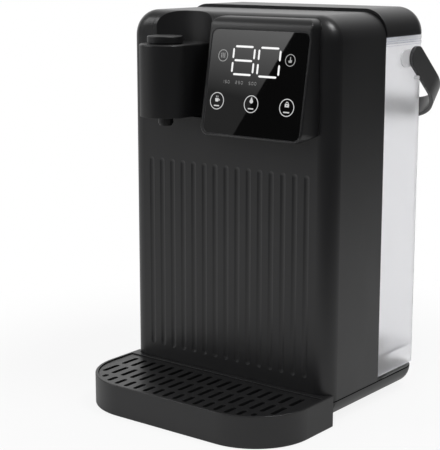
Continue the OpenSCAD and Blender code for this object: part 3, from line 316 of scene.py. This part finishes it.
def milky_silicone(name, dark, light):
    """Soft silicone: waxy, faintly cloudy."""
    material, tree, shader = start_material(name)
    link = tree.links.new
    grain = place_group(tree, GRAIN, (-900, 200), Grain_size_mm=1.2, Cloud_size_mm=14.0)
    tone = tone_mix(tree, (-500, 250), grain.outputs["Cloud"], dark, light)
    link(tone, shader.inputs["Base Color"])
    wax = value_range(tree, (-500, 0), grain.outputs["Cloud"], 0.42, 0.6)
    link(wax, shader.inputs["Roughness"])
    skin = pressed_normal(tree, (-250, -250), grain.outputs["Height"], 0.1, 0.1 * MM)
    link(skin, shader.inputs["Normal"])
    shader.inputs["Subsurface Weight"].default_value = 0.15
    return material


def drawn_metal(name, dark, light, rough, stretch):
    """Drawn or turned metal: fine lines along one way, over slow clouds."""
    material, tree, shader = start_material(name)
    link = tree.links.new
    coord = add_node(tree, "ShaderNodeTexCoord", (-1100, -100))
    lines_map = add_node(tree, "ShaderNodeMapping", (-900, -100), inputs={"Scale": stretch})
    lines = add_node(tree, "ShaderNodeTexNoise", (-700, -100), inputs={"Scale": 900.0, "Detail": 2.0})
    grain = place_group(tree, GRAIN, (-900, 250), Grain_size_mm=1.0, Cloud_size_mm=20.0)
    edge = place_group(tree, SOFT_EDGE, (-900, -350), Edge_radius_mm=0.25)
    link(coord.outputs["Object"], lines_map.inputs["Vector"])
    link(lines_map.outputs["Vector"], lines.inputs["Vector"])
    tone = tone_mix(tree, (-450, 250), grain.outputs["Cloud"], dark, light)
    link(tone, shader.inputs["Base Color"])
    brushed = value_range(tree, (-450, 0), lines.outputs["Fac"], rough - 0.08, rough + 0.12)
    link(brushed, shader.inputs["Roughness"])
    ridges = pressed_normal(tree, (-250, -250), lines.outputs["Fac"], 0.12, 0.05 * MM, edge.outputs["Normal"])
    link(ridges, shader.inputs["Normal"])
    shader.inputs["Metallic"].default_value = 1.0
    return material


def circuit_board():
    """Coated board: copper tracks showing as paler lines under a green coat."""
    material, tree, shader = start_material("circuit board")
    link = tree.links.new
    coord = add_node(tree, "ShaderNodeTexCoord", (-1100, 0))
    tracks = add_node(tree, "ShaderNodeTexBrick", (-800, 0), inputs={
        "Scale": 90.0, "Mortar Size": 0.03, "Mortar": (1, 1, 1, 1),
        "Color1": (0, 0, 0, 1), "Color2": (0.1, 0.1, 0.1, 1)})
    link(coord.outputs["Object"], tracks.inputs["Vector"])
    coat = tone_mix(tree, (-450, 200), tracks.outputs["Color"], (0.012, 0.07, 0.032), (0.03, 0.16, 0.07))
    link(coat, shader.inputs["Base Color"])
    dull = value_range(tree, (-450, -50), tracks.outputs["Fac"], 0.28, 0.4)
    link(dull, shader.inputs["Roughness"])
    relief = pressed_normal(tree, (-250, -250), tracks.outputs["Fac"], 0.2, 0.1 * MM)
    link(relief, shader.inputs["Normal"])
    return material


def build_finishes():
    """The finish of each kind of piece, by a short name."""
    # Painted shade: edges painted near black and dulled, for the shadow in the grid's slots and along the
    # base's parting line
    shaded = {"edge_shade_tone": grey(0.0008), "edge_part": 1.0, "edge_rough": 0.5}
    return {
        "cover": moulded_plastic("matt black cover", grey(0.0085, 0.0006), grey(0.0112, 0.0006),
                                 rough=0.34, grain_mm=0.5, bump=0.18, edge_mm=0.5),
        # Base: painted shade along its edges, beside the seam strip
        "base": moulded_plastic("matt black base", grey(0.0080, 0.0006), grey(0.0106, 0.0006),
                                rough=0.36, grain_mm=0.5, bump=0.18, edge_mm=1.1, **shaded),
        # Painted shadow: a near-black, nearly matt finish for the strip in the seam between the base, the
        # housing and the tank
        "seam": moulded_plastic("painted seam shadow", grey(0.0010), grey(0.0016),
                                rough=0.85, grain_mm=0.9, bump=0.1, edge_mm=0.2, gloss=0.05),
        "head": moulded_plastic("satin black head", grey(0.0090, 0.0006), grey(0.0118, 0.0006),
                                rough=0.32, grain_mm=0.5, bump=0.16, edge_mm=2.0),
        "tray": moulded_plastic("matt black tray", grey(0.0085, 0.0005), grey(0.0112, 0.0006),
                                rough=0.4, grain_mm=0.5, bump=0.2, edge_mm=0.5),
        # Grid: painted shade darkens the edges of the slots
        "grid": moulded_plastic("matt black grid", grey(0.0065, 0.0005), grey(0.0090, 0.0005),
                                rough=0.38, grain_mm=0.5, bump=0.2, edge_mm=0.5, **shaded),
        # Strap: a dark grey lighter than the other black plastics, partly its own tone and partly a painted
        # sheen; its edges get painted shade
        "strap": moulded_plastic("satin black strap", grey(0.038, 0.001), grey(0.058, 0.001),
                                 rough=0.3, grain_mm=0.6, bump=0.2, edge_mm=1.6,
                                 edge_shade_tone=grey(0.006), edge_part=0.85, edge_rough=0.1),
        "spout": moulded_plastic("satin black spout", grey(0.0055, 0.0005), grey(0.0075, 0.0005),
                                 rough=0.42, grain_mm=0.5, bump=0.2, edge_mm=0.5),
        "inner": moulded_plastic("plain black inner moulding", grey(0.010, 0.001), grey(0.016, 0.001),
                                 rough=0.55, grain_mm=0.9, bump=0.3, edge_mm=0.4),
        "white": moulded_plastic("plain white moulding", grey(0.68, -0.02), grey(0.78, -0.02),
                                 rough=0.45, grain_mm=0.8, bump=0.2, edge_mm=0.4),
        "parts": moulded_plastic("board parts", (0.05, 0.055, 0.065), (0.09, 0.095, 0.105),
                                 rough=0.45, grain_mm=0.8, bump=0.2, edge_mm=0.3),
        "rubber": moulded_plastic("black rubber", grey(0.012), grey(0.020),
                                  rough=0.72, grain_mm=0.9, bump=0.4, edge_mm=0.5, gloss=0.3),
        "bosses": moulded_plastic("milky boss", grey(0.86, 0.02), grey(0.92, 0.02),
                                  rough=0.3, grain_mm=0.8, bump=0.08, edge_mm=0.4),
        "panel": polished_panel(),
        "tank": frosted_tank(),
        "silicone": milky_silicone("milky hose silicone", grey(0.62, -0.04), grey(0.78, -0.04)),
        "sleeve": milky_silicone("pale sleeve silicone", grey(0.86, 0.02), grey(0.92, 0.01)),
        "steel": drawn_metal("drawn steel", (0.48, 0.49, 0.50), (0.62, 0.63, 0.64), 0.34, (1.0, 1.0, 0.04)),
        "brass": drawn_metal("turned brass", (0.52, 0.36, 0.14), (0.70, 0.52, 0.24), 0.3, (0.05, 1.0, 1.0)),
        "board": circuit_board(),
    }


def dress_nodes(finishes):
    """Gives each CAD piece its finish."""
    worn_by = {
        "cover": ["housing_shell", "niche_wall", "lid"],
        "base": ["base_pan"],
        "head": ["head_case"],
        "tray": ["drip_tray"],
        "grid": ["drip_grid"],
        "strap": ["handle"],
        "spout": ["nose_shell", "nose_floor", "spout_cap", "spout_nozzle"],
        "inner": ["rear_bulkhead", "dock_deck", "tank_socket", "pump_body", "heater_caps", "valve_poppet"],
        "white": ["digit_module", "valve_cage", "pump_impeller"],
        "parts": ["board_components"],
        "rubber": ["feet", "tank_feet", "valve_seal", "lid_seal", "cord_gland", "pump_cradle"],
        "bosses": ["grip_rests", "pivot_bushes"],
        "panel": ["display_glass"],
        "tank": ["tank_shell", "valve_spigot"],
        "silicone": ["outlet_hose", "pump_hose", "inlet_hose", "socket_seal"],
        "steel": ["heater_tube", "heater_bracket", "thermal_cutouts", "pump_motor", "base_screws",
                  "bulkhead_screws", "handle_pins", "valve_spring"],
        "brass": ["board_standoffs", "temperature_probe"],
        "board": ["display_board", "power_board"],
    }
    for finish, names in worn_by.items():
        for name in names:
            mesh = nodes[name].data
            mesh.materials.clear()
            mesh.materials.append(finishes[finish])


def face_matrix(lift_mm):
    """Places flat marks, drawn in metres across and up, on the leaning display face."""
    origin = Vector((0.0, FRONT_Y - FACE_REACH, FACE_Z))
    out = Vector((0.0, -math.cos(FACE_LEAN), math.sin(FACE_LEAN)))
    turn = Matrix.Rotation(math.pi / 2 - FACE_LEAN, 4, "X")
    return Matrix.Translation(origin + out * lift_mm * MM) @ turn


def flat_marks(name, outlines, material, lift_mm=0.06, half_thick_mm=0.04):
    """Filled outlines (lists of mm points, holes as inner outlines) laid on the glass as one piece."""
    curve = bpy.data.curves.new(name + "_outline", "CURVE")
    curve.dimensions = "2D"
    curve.fill_mode = "BOTH"
    curve.extrude = half_thick_mm * MM
    for points in outlines:
        spline = curve.splines.new("POLY")
        spline.points.add(len(points) - 1)
        for point, (x, v) in zip(spline.points, points):
            point.co = (x * MM, v * MM, 0.0, 1.0)
        spline.use_cyclic_u = True
    drawn = bpy.data.objects.new(name + "_drawn", curve)
    bpy.context.scene.collection.objects.link(drawn)
    bpy.context.view_layer.update()
    shape = drawn.evaluated_get(bpy.context.evaluated_depsgraph_get())
    mesh = bpy.data.meshes.new_from_object(shape)
    bpy.data.objects.remove(drawn)
    mesh.name = name
    mesh.transform(face_matrix(lift_mm))
    mesh.materials.clear()
    mesh.materials.append(material)
    piece = bpy.data.objects.new(name, mesh)
    bpy.context.scene.collection.objects.link(piece)
    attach(piece, "cabinet")


def circle_points(x, v, r, steps=40):
    """Loop of points round a circle."""
    turns = [2 * math.pi * i / steps for i in range(steps)]
    return [(x + r * math.cos(a), v + r * math.sin(a)) for a in turns]


def ring(x, v, r, stroke):
    """A circle with its inner edge as a hole."""
    return [circle_points(x, v, r), circle_points(x, v, r - stroke)[::-1]]


def bar(x0, v0, x1, v1, stroke):
    """A segment of a lit digit: a bar whose two ends come to a blunt point."""
    tip_length, tip_width = 0.5, 0.35
    along = Vector((x1 - x0, v1 - v0)).normalized()
    across = Vector((-along.y, along.x)) * stroke / 2
    a, b = Vector((x0, v0)), Vector((x1, v1))
    tip = along * stroke * tip_length
    blunt = across * tip_width
    return [tuple(p) for p in (a + tip + across, a + blunt, a - blunt, a + tip - across,
                               b - tip - across, b - blunt, b + blunt, b - tip + across)]


SEGMENTS = {"0": "abcdef", "1": "bc", "2": "abged", "3": "abgcd", "5": "afgcd", "8": "abcdefg"}


def digit(sign, left, right, low, high, stroke, gap):
    """The lit segments of one digit between its centre lines."""
    mid = (low + high) / 2
    lines = {
        "a": (left + gap, high, right - gap, high), "g": (left + gap, mid, right - gap, mid),
        "d": (left + gap, low, right - gap, low),
        "f": (left, mid + gap, left, high - gap), "b": (right, mid + gap, right, high - gap),
        "e": (left, low + gap, left, mid - gap), "c": (right, low + gap, right, mid - gap),
    }
    return [bar(*lines[s], stroke) for s in SEGMENTS[sign]]


# Middles of the touch keys and status marks, in mm across the display face and up it
POUR_KEY = (6.8, 27.3)
WATER_KEY = (39.6, 26.9)
LOCK_KEY = (72.6, 26.5)
HEAT_MARK = (8.2, 62.4)
PRESS_MARK = (71.2, 61.7)


def raised(middle, rise):
    """A place straight above the middle of a key or mark, or below it."""
    return (middle[0], middle[1] + rise)


def draw_display():
    """Lights the digits, rings, signs and small numbers of the display."""
    bright = lit_mark("lit digit", 1.0, 1.0)
    soft = lit_mark("lit ring", 0.80, 0.8)
    faint = lit_mark("lit small mark", 0.62, 0.6)
    dim = lit_mark("lit number", 0.50, 0.5)
    stroke, gap = 1.55, 1.5
    tens = digit("8", 18.1, 37.8, 48.7, 70.0, stroke, gap)
    ones = digit("0", 42.1, 61.7, 48.2, 69.9, stroke, gap)
    flat_marks("temperature_digits", tens + ones, bright)
    key_r, key_stroke = 6.7, 0.6
    flat_marks("touch_rings", [outline for key in (POUR_KEY, WATER_KEY, LOCK_KEY)
                               for outline in ring(*key, key_r, key_stroke)], soft)
    status_r, status_stroke = 4.6, 0.5
    flat_marks("status_rings", [outline for mark in (HEAT_MARK, PRESS_MARK)
                                for outline in ring(*mark, status_r, status_stroke)], faint)
    signs = (droplet(*raised(WATER_KEY, 2.3), 2.6) + padlock(*raised(LOCK_KEY, 2.1))
             + pour_sign(*raised(POUR_KEY, 1.1)))
    dashes = [plain_dash(*raised(WATER_KEY, -3.5), 5.0), plain_dash(*raised(LOCK_KEY, -3.5), 5.4),
              plain_dash(*raised(POUR_KEY, -3.7), 5.0)]
    flat_marks("touch_signs", signs + dashes, soft)
    states = heat_waves(*raised(HEAT_MARK, 0.2)) + press_sign(*raised(PRESS_MARK, 0.2))
    flat_marks("status_signs", states, faint)
    flat_marks("volume_numbers", volume_numbers(), dim)


def volume_numbers():
    """The row of three small numbers under the digits."""
    pitch, width, low, high, stroke, gap = 2.7, 1.6, 41.5, 43.5, 0.5, 0.25
    outlines = []
    for first, number in ((9.9, "150"), (22.6, "250"), (35.3, "500")):
        for i, sign in enumerate(number):
            left = first + i * pitch
            outlines += digit(sign, left, left + width, low, high, stroke, gap)
    return outlines


def droplet(x, v, size, steps=36):
    """A drop whose round belly draws up to a tip."""
    points = []
    for i in range(steps):
        a = 2 * math.pi * i / steps
        rise = max(0.0, math.sin(a))
        r = size * (0.62 + 0.16 * math.sin(a))
        across = r * math.cos(a) * (1 - 0.55 * rise ** 2)
        up = r * math.sin(a) + size * 0.62 * rise ** 5
        points.append((x + across, v - size * 0.2 + up))
    return [points]


def half_arch(x, v, across, up, steps=14):
    """Half an ellipse from its right foot over the top to its left foot."""
    turns = [math.pi * i / steps for i in range(steps + 1)]
    return [(x + across * math.cos(a), v + up * math.sin(a)) for a in turns]


def padlock(x, v):
    """Key mark: a closed lock with its keyhole and shackle."""
    half, low, high = 1.9, v - 1.7, v + 0.7
    body = [(x - half, low), (x + half, low), (x + half, high), (x - half, high)]
    hole = circle_points(x, v - 0.5, 0.5, 16)[::-1]
    foot = v + 0.8
    shackle = half_arch(x, foot, 1.35, 1.6) + half_arch(x, foot, 0.85, 1.05)[::-1]
    return [body, hole, shackle]


def pour_sign(x, v):
    """Key mark: an open bowl with an ear, under two short wavy lines."""
    bowl = [(x - 1.9, v + 0.9), (x - 1.5, v - 1.7), (x + 1.1, v - 1.7), (x + 1.5, v + 0.9)]
    ear = [(x + 1.55, v + 0.5), (x + 2.6, v + 0.3), (x + 2.5, v - 0.9), (x + 1.35, v - 1.0),
           (x + 1.4, v - 0.6), (x + 2.05, v - 0.55), (x + 2.1, v - 0.05), (x + 1.5, v + 0.1)]
    lines = [[(x + d - 0.2, v + 1.5), (x + d + 0.2, v + 1.5), (x + d + 0.35, v + 2.2), (x + d + 0.1, v + 2.9),
              (x + d - 0.25, v + 2.8), (x + d - 0.05, v + 2.2)] for d in (-1.0, 0.5)]
    return [bowl, ear] + lines


def heat_waves(x, v):
    """Status mark: three upright wavy lines."""
    waves = []
    for d in (-1.5, 0.0, 1.5):
        right = [(x + d + 0.28 + 0.4 * math.sin(1.6 * i), v - 1.9 + 0.42 * i) for i in range(10)]
        left = [(px - 0.5, pv) for px, pv in right[::-1]]
        waves.append(right + left)
    return waves


def press_sign(x, v):
    """Status mark: a pointer on a broad foot."""
    pointer = [(x - 1.3, v - 2.0), (x + 1.3, v - 2.0), (x + 1.6, v - 0.2), (x + 0.4, v + 0.3),
               (x + 0.4, v + 2.2), (x - 0.3, v + 2.2), (x - 0.3, v - 0.3), (x - 1.6, v - 0.5)]
    return [pointer]


def plain_dash(x, v, length, half_height=0.45):
    """A level bar in the place of a word."""
    left, right, low, high = x - length / 2, x + length / 2, v - half_height, v + half_height
    return [(left, low), (right, low), (right, high), (left, high)]


def closed_piece(name, points, faces, material, body):
    """A closed mesh piece with its faces turned outwards, riding on a body of the part."""
    mesh = bpy.data.meshes.new(name)
    mesh.from_pydata(points, [], faces)
    form = bmesh.new()
    form.from_mesh(mesh)
    bmesh.ops.recalc_face_normals(form, faces=form.faces[:])
    form.to_mesh(mesh)
    form.free()
    mesh.materials.append(material)
    piece = bpy.data.objects.new(name, mesh)
    bpy.context.scene.collection.objects.link(piece)
    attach(piece, body)
    return piece


def strip_faces(rows, count, closed):
    """Quads between rows of points, each a closed loop; closed also joins the last row to the first."""
    faces = []
    for i in range(rows if closed else rows - 1):
        a, b = i * count, (i + 1) % rows * count
        for j in range(count):
            k = (j + 1) % count
            faces.append((a + j, a + k, b + k, b + j))
    return faces


def rear_plan(half, front, back, r, steps=8):
    """Loop of mm points round a plan with a square front and two rounded rear corners."""
    right = [(half - r + r * math.cos(a), back - r + r * math.sin(a))
             for a in [math.pi / 2 * i / steps for i in range(steps + 1)]]
    left = [(-x, y) for x, y in right[::-1]]
    return [(-half, front), (half, front)] + right + left


def build_plug_sleeve(material):
    """Pale silicone sleeve with three sealing lips round the plug of the lid."""
    half, front, back, r = 96.3, 79.3, 137.9, 11.8
    foot, top = 295.4, 300.6
    gap, skin, lip = 0.05, 0.32, 0.58
    lip_count, lip_pitch, lip_height = 3, 1.8, 1.0
    section = [(gap, top), (gap, foot)]
    for i in range(lip_count):
        low = foot + i * lip_pitch
        section += [(skin, low), (lip, low + lip_height / 2), (skin, low + lip_height)]
    section.append((skin, top))
    rings = [rear_plan(half + out, front - out, back + out, r + out) for out, _ in section]
    points = [(x * MM, FRONT_Y + y * MM, z * MM) for loop, (_, z) in zip(rings, section) for x, y in loop]
    faces = strip_faces(len(section), len(rings[0]), True)
    closed_piece("lid_plug_sleeve", points, faces, material, "lid")


def build_seam_shadow(material):
    """Painted shadow in the parting seam: a thin near-black band round the base's upper rim, standing for the
    shade under the housing and tank.
    """
    rim_slack, sunk, proud, foot, top = 0.05, -0.3, 0.04, 0.9, 0.02
    pan = nodes["base_pan"]
    low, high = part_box("base_pan")
    middle = (low + high) / 2
    corners = [pan.matrix_world @ v.co for v in pan.data.vertices]
    rim = [Vector((p.x - middle.x, p.y - middle.y)) for p in corners if p.z > high.z - rim_slack * MM]
    loop = [rim[i] for i in convex_hull_2d(rim)]
    section = [(sunk, foot), (proud, foot), (proud, top), (sunk, top)]
    points = []
    for out, down in section:
        # Grown about the middle: by out at the sides, and in proportion elsewhere
        grow = 1 + out * MM / high.x
        points += [(middle.x + p.x * grow, middle.y + p.y * grow, high.z - down * MM) for p in loop]
    faces = strip_faces(len(section), len(loop), True)
    closed_piece("base_seam_shadow", points, faces, material, "cabinet")


def wind_valve_spring(material):
    """Return spring of the tank valve: a smooth wound wire in the box of the CAD spring, which it replaces.
    """
    low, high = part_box("valve_spring")
    middle = (low + high) / 2
    wire, turns, per_turn, sides = 0.5 * MM, 5, 48, 12
    r = (high.x - low.x) / 2 - wire
    first, rise = low.z + wire, high.z - low.z - 2 * wire
    rows = turns * per_turn + 1
    points = []
    for i in range(rows):
        a = 2 * math.pi * i / per_turn
        for k in range(sides):
            b = 2 * math.pi * k / sides
            out = r + wire * math.cos(b)
            points.append((middle.x + out * math.cos(a), middle.y + out * math.sin(a),
                           first + rise * i / (rows - 1) + wire * math.sin(b)))
    ends = [tuple(range(sides)), tuple(range((rows - 1) * sides, rows * sides))]
    faces = strip_faces(rows, sides, False) + ends
    spring = closed_piece("wound_valve_spring", points, faces, material, "tank")
    spring.data.shade_smooth()
    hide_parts("valve_spring")
    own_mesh(spring)


def build_world():
    """White backdrop behind and to the left, a dim room elsewhere; the camera always sees white."""
    world = bpy.data.worlds.new("studio")
    bpy.context.scene.world = world
    tree = bare_tree(world)
    link = tree.links.new
    coord = add_node(tree, "ShaderNodeTexCoord", (-1100, 0))
    split = add_node(tree, "ShaderNodeSeparateXYZ", (-900, -200))
    towards = add_node(tree, "ShaderNodeVectorMath", (-900, 100), operation="DOT_PRODUCT",
                       inputs={1: (-0.62, 0.78, 0.0)})
    backdrop = add_node(tree, "ShaderNodeMapRange", (-700, 100), interpolation_type="SMOOTHSTEP",
                        inputs={"From Min": 0.45, "From Max": 0.9, "To Min": 0.03, "To Max": 1.0})
    above = add_node(tree, "ShaderNodeMapRange", (-700, -200), interpolation_type="SMOOTHSTEP",
                     inputs={"From Min": 0.3, "From Max": 0.95, "To Min": 0.0, "To Max": 0.6})
    level = add_node(tree, "ShaderNodeMath", (-450, 0), operation="MAXIMUM")
    light_path = add_node(tree, "ShaderNodeLightPath", (-900, 500))
    shine = add_node(tree, "ShaderNodeMath", (-500, 300), operation="MULTIPLY")
    direct = add_node(tree, "ShaderNodeMath", (-500, 500), operation="MAXIMUM")
    seen = add_node(tree, "ShaderNodeMath", (-250, 400), operation="MAXIMUM")
    room = add_node(tree, "ShaderNodeBackground", (0, 0))
    white = add_node(tree, "ShaderNodeBackground", (0, 200), inputs={"Color": (1, 1, 1, 1), "Strength": 1.0})
    mix = add_node(tree, "ShaderNodeMixShader", (250, 100))
    out = add_node(tree, "ShaderNodeOutputWorld", (450, 100))
    link(coord.outputs["Generated"], towards.inputs[0])
    link(coord.outputs["Generated"], split.inputs[0])
    link(towards.outputs["Value"], backdrop.inputs["Value"])
    link(split.outputs["Z"], above.inputs["Value"])
    link(backdrop.outputs["Result"], level.inputs[0])
    link(above.outputs["Result"], level.inputs[1])
    link(level.outputs[0], room.inputs["Strength"])
    link(light_path.outputs["Is Glossy Ray"], shine.inputs[0])
    link(backdrop.outputs["Result"], shine.inputs[1])
    link(light_path.outputs["Is Camera Ray"], direct.inputs[0])
    link(light_path.outputs["Is Transmission Ray"], direct.inputs[1])
    link(direct.outputs[0], seen.inputs[0])
    link(shine.outputs[0], seen.inputs[1])
    link(seen.outputs[0], mix.inputs["Fac"])
    link(room.outputs[0], mix.inputs[1])
    link(white.outputs[0], mix.inputs[2])
    link(mix.outputs[0], out.inputs["Surface"])


def plane_object(name, corners, material):
    """A flat piece of the stage, not of the part."""
    mesh = bpy.data.meshes.new(name)
    mesh.from_pydata(corners, [], [tuple(range(len(corners)))])
    mesh.materials.append(material)
    piece = bpy.data.objects.new(name, mesh)
    bpy.context.scene.collection.objects.link(piece)
    return piece


def build_floor():
    """Pale floor: white to the camera but for the shadow; its colour is painted dark in front and right, a
    painted pool of light round the part that fades into the dim room.
    """
    material = bpy.data.materials.new("pale floor")
    tree = bare_tree(material)
    link = tree.links.new
    surface = add_node(tree, "ShaderNodeNewGeometry", (-1500, 0))
    split = add_node(tree, "ShaderNodeSeparateXYZ", (-1300, 0))
    right = add_node(tree, "ShaderNodeMapRange", (-1000, 200), interpolation_type="SMOOTHSTEP",
                     inputs={"From Min": 0.25, "From Max": 1.15, "To Min": 1.0, "To Max": 0.05})
    forward = add_node(tree, "ShaderNodeMath", (-1150, -100), operation="MULTIPLY_ADD", inputs={1: 0.9})
    minus_y = add_node(tree, "ShaderNodeMath", (-1300, -250), operation="MULTIPLY", inputs={1: -1.0})
    front = add_node(tree, "ShaderNodeMapRange", (-1000, -100), interpolation_type="SMOOTHSTEP",
                     inputs={"From Min": 0.4, "From Max": 1.0, "To Min": 1.0, "To Max": 0.05})
    near = add_node(tree, "ShaderNodeMath", (-800, 50), operation="MULTIPLY")
    # Painted pool of light: pale near the part and dark further off in front and right, seen in the part's
    # gloss and lighting
    tone = tone_mix(tree, (-600, 50), near.outputs[0], grey(0.03), grey(0.70))
    distance = add_node(tree, "ShaderNodeVectorMath", (-1300, 450), operation="LENGTH")
    cover = add_node(tree, "ShaderNodeMapRange", (-1000, 450), interpolation_type="SMOOTHSTEP",
                     inputs={"From Min": 0.2, "From Max": 0.42, "To Min": 0.88, "To Max": 1.0})
    matt = add_node(tree, "ShaderNodeBsdfDiffuse", (-300, 100))
    white = add_node(tree, "ShaderNodeEmission", (-300, -50), inputs={"Color": (1, 1, 1, 1), "Strength": 1.0})
    light_path = add_node(tree, "ShaderNodeLightPath", (-1000, 800))
    direct = add_node(tree, "ShaderNodeMath", (-700, 650), operation="MAXIMUM")
    shine = add_node(tree, "ShaderNodeMath", (-700, 450), operation="MULTIPLY")
    part = add_node(tree, "ShaderNodeMath", (-500, 400), operation="MULTIPLY", inputs={1: 0.22})
    share = add_node(tree, "ShaderNodeMath", (-500, 600), operation="MULTIPLY")
    seen = add_node(tree, "ShaderNodeMath", (-300, 500), operation="MAXIMUM")
    mix = add_node(tree, "ShaderNodeMixShader", (0, 100))
    out = add_node(tree, "ShaderNodeOutputMaterial", (200, 100))
    link(surface.outputs["Position"], split.inputs[0])
    link(surface.outputs["Position"], distance.inputs[0])
    link(split.outputs["X"], right.inputs["Value"])
    link(split.outputs["X"], forward.inputs[0])
    link(split.outputs["Y"], minus_y.inputs[0])
    link(minus_y.outputs[0], forward.inputs[2])
    link(forward.outputs[0], front.inputs["Value"])
    link(right.outputs["Result"], near.inputs[0])
    link(front.outputs["Result"], near.inputs[1])
    link(tone, matt.inputs["Color"])
    link(distance.outputs["Value"], cover.inputs["Value"])
    link(light_path.outputs["Is Camera Ray"], direct.inputs[0])
    link(light_path.outputs["Is Transmission Ray"], direct.inputs[1])
    link(direct.outputs[0], share.inputs[0])
    link(cover.outputs["Result"], share.inputs[1])
    link(light_path.outputs["Is Glossy Ray"], shine.inputs[0])
    link(near.outputs[0], shine.inputs[1])
    link(shine.outputs[0], part.inputs[0])
    link(share.outputs[0], seen.inputs[0])
    link(part.outputs[0], seen.inputs[1])
    link(seen.outputs[0], mix.inputs["Fac"])
    link(matt.outputs[0], mix.inputs[1])
    link(white.outputs[0], mix.inputs[2])
    link(mix.outputs[0], out.inputs["Surface"])
    reach = 12.0
    corners = [(-reach, -reach, 0), (reach, -reach, 0), (reach, reach, 0), (-reach, reach, 0)]
    plane_object("floor", corners, material)


def build_window_card():
    """Tall pale card at the front left: the slanting light patch in the display glass."""
    material = bpy.data.materials.new("window card")
    tree = bare_tree(material)
    link = tree.links.new
    surface = add_node(tree, "ShaderNodeNewGeometry", (-800, 0))
    split = add_node(tree, "ShaderNodeSeparateXYZ", (-600, 0))
    fade = add_node(tree, "ShaderNodeMapRange", (-400, 0),
                    inputs={"From Min": 0.68, "From Max": 0.86, "To Min": 0.4, "To Max": 2.5})
    glow = add_node(tree, "ShaderNodeEmission", (-200, 0), inputs={"Color": (1, 1, 1, 1)})
    out = add_node(tree, "ShaderNodeOutputMaterial", (0, 0))
    link(surface.outputs["Position"], split.inputs[0])
    link(split.outputs["Z"], fade.inputs["Value"])
    link(fade.outputs["Result"], glow.inputs["Strength"])
    link(glow.outputs[0], out.inputs["Surface"])
    centre = Vector((-1.4316, -1.9860 + FRONT_Y, 0.7212))
    across = Vector((-0.8006, 0.5992, 0.0))
    up = Vector((0.1087, 0.1452, 0.9834))
    outline = [(-0.128, 0.32), (0.084, -0.30), (0.70, -0.30), (0.70, 0.32)]
    corners = [tuple(centre + across * u + up * w) for u, w in outline]
    card = plane_object("window_card", corners, material)
    card.visible_camera = False


def soft_box(name, place, target, size, power):
    """A rectangular lamp turned towards a target."""
    light = bpy.data.lights.new(name, "AREA")
    light.shape = "RECTANGLE"
    light.size, light.size_y = size
    light.energy = power
    lamp = bpy.data.objects.new(name, light)
    lamp.location = place
    lamp.rotation_euler = (Vector(target) - Vector(place)).to_track_quat("-Z", "Y").to_euler()
    bpy.context.scene.collection.objects.link(lamp)
    return lamp


def build_lights():
    """Two lamps that shape the cover, and a broad one that lights the colours but not the gloss."""
    soft_box("overhead", (0.85, 0.1, 1.75), (0, 0, 0.1), (0.6, 0.6), 15)
    soft_box("left_front", (-1.6, -1.2, 1.3), (0, 0, 0.15), (0.8, 1.0), 10)
    fill = soft_box("front", (0.4, -1.55, 0.95), (0, 0, 0.15), (1.2, 1.2), 14)
    fill.visible_glossy = False


def build_camera():
    """The view of the photo."""
    camera = bpy.data.cameras.new("photo_camera")
    camera.sensor_fit = "VERTICAL"
    camera.sensor_height = 36.0
    camera.lens = 105.35
    camera.clip_end = 60.0
    eye = Vector((0.63219, -0.82153 + FRONT_Y, 0.36697))
    target = Vector((-0.0474, 0.0533 + FRONT_Y, 0.1362))
    stand = bpy.data.objects.new("photo_camera", camera)
    stand.location = eye
    stand.rotation_euler = (target - eye).to_track_quat("-Z", "Y").to_euler()
    bpy.context.scene.collection.objects.link(stand)
    bpy.context.scene.camera = stand


build_camera()
finishes = build_finishes()
dress_nodes(finishes)
draw_display()
build_plug_sleeve(finishes["sleeve"])
build_seam_shadow(finishes["seam"])
wind_valve_spring(finishes["steel"])
build_world()
build_floor()
build_window_card()
build_lights()
bpy.context.scene.view_settings.view_transform = "Standard"
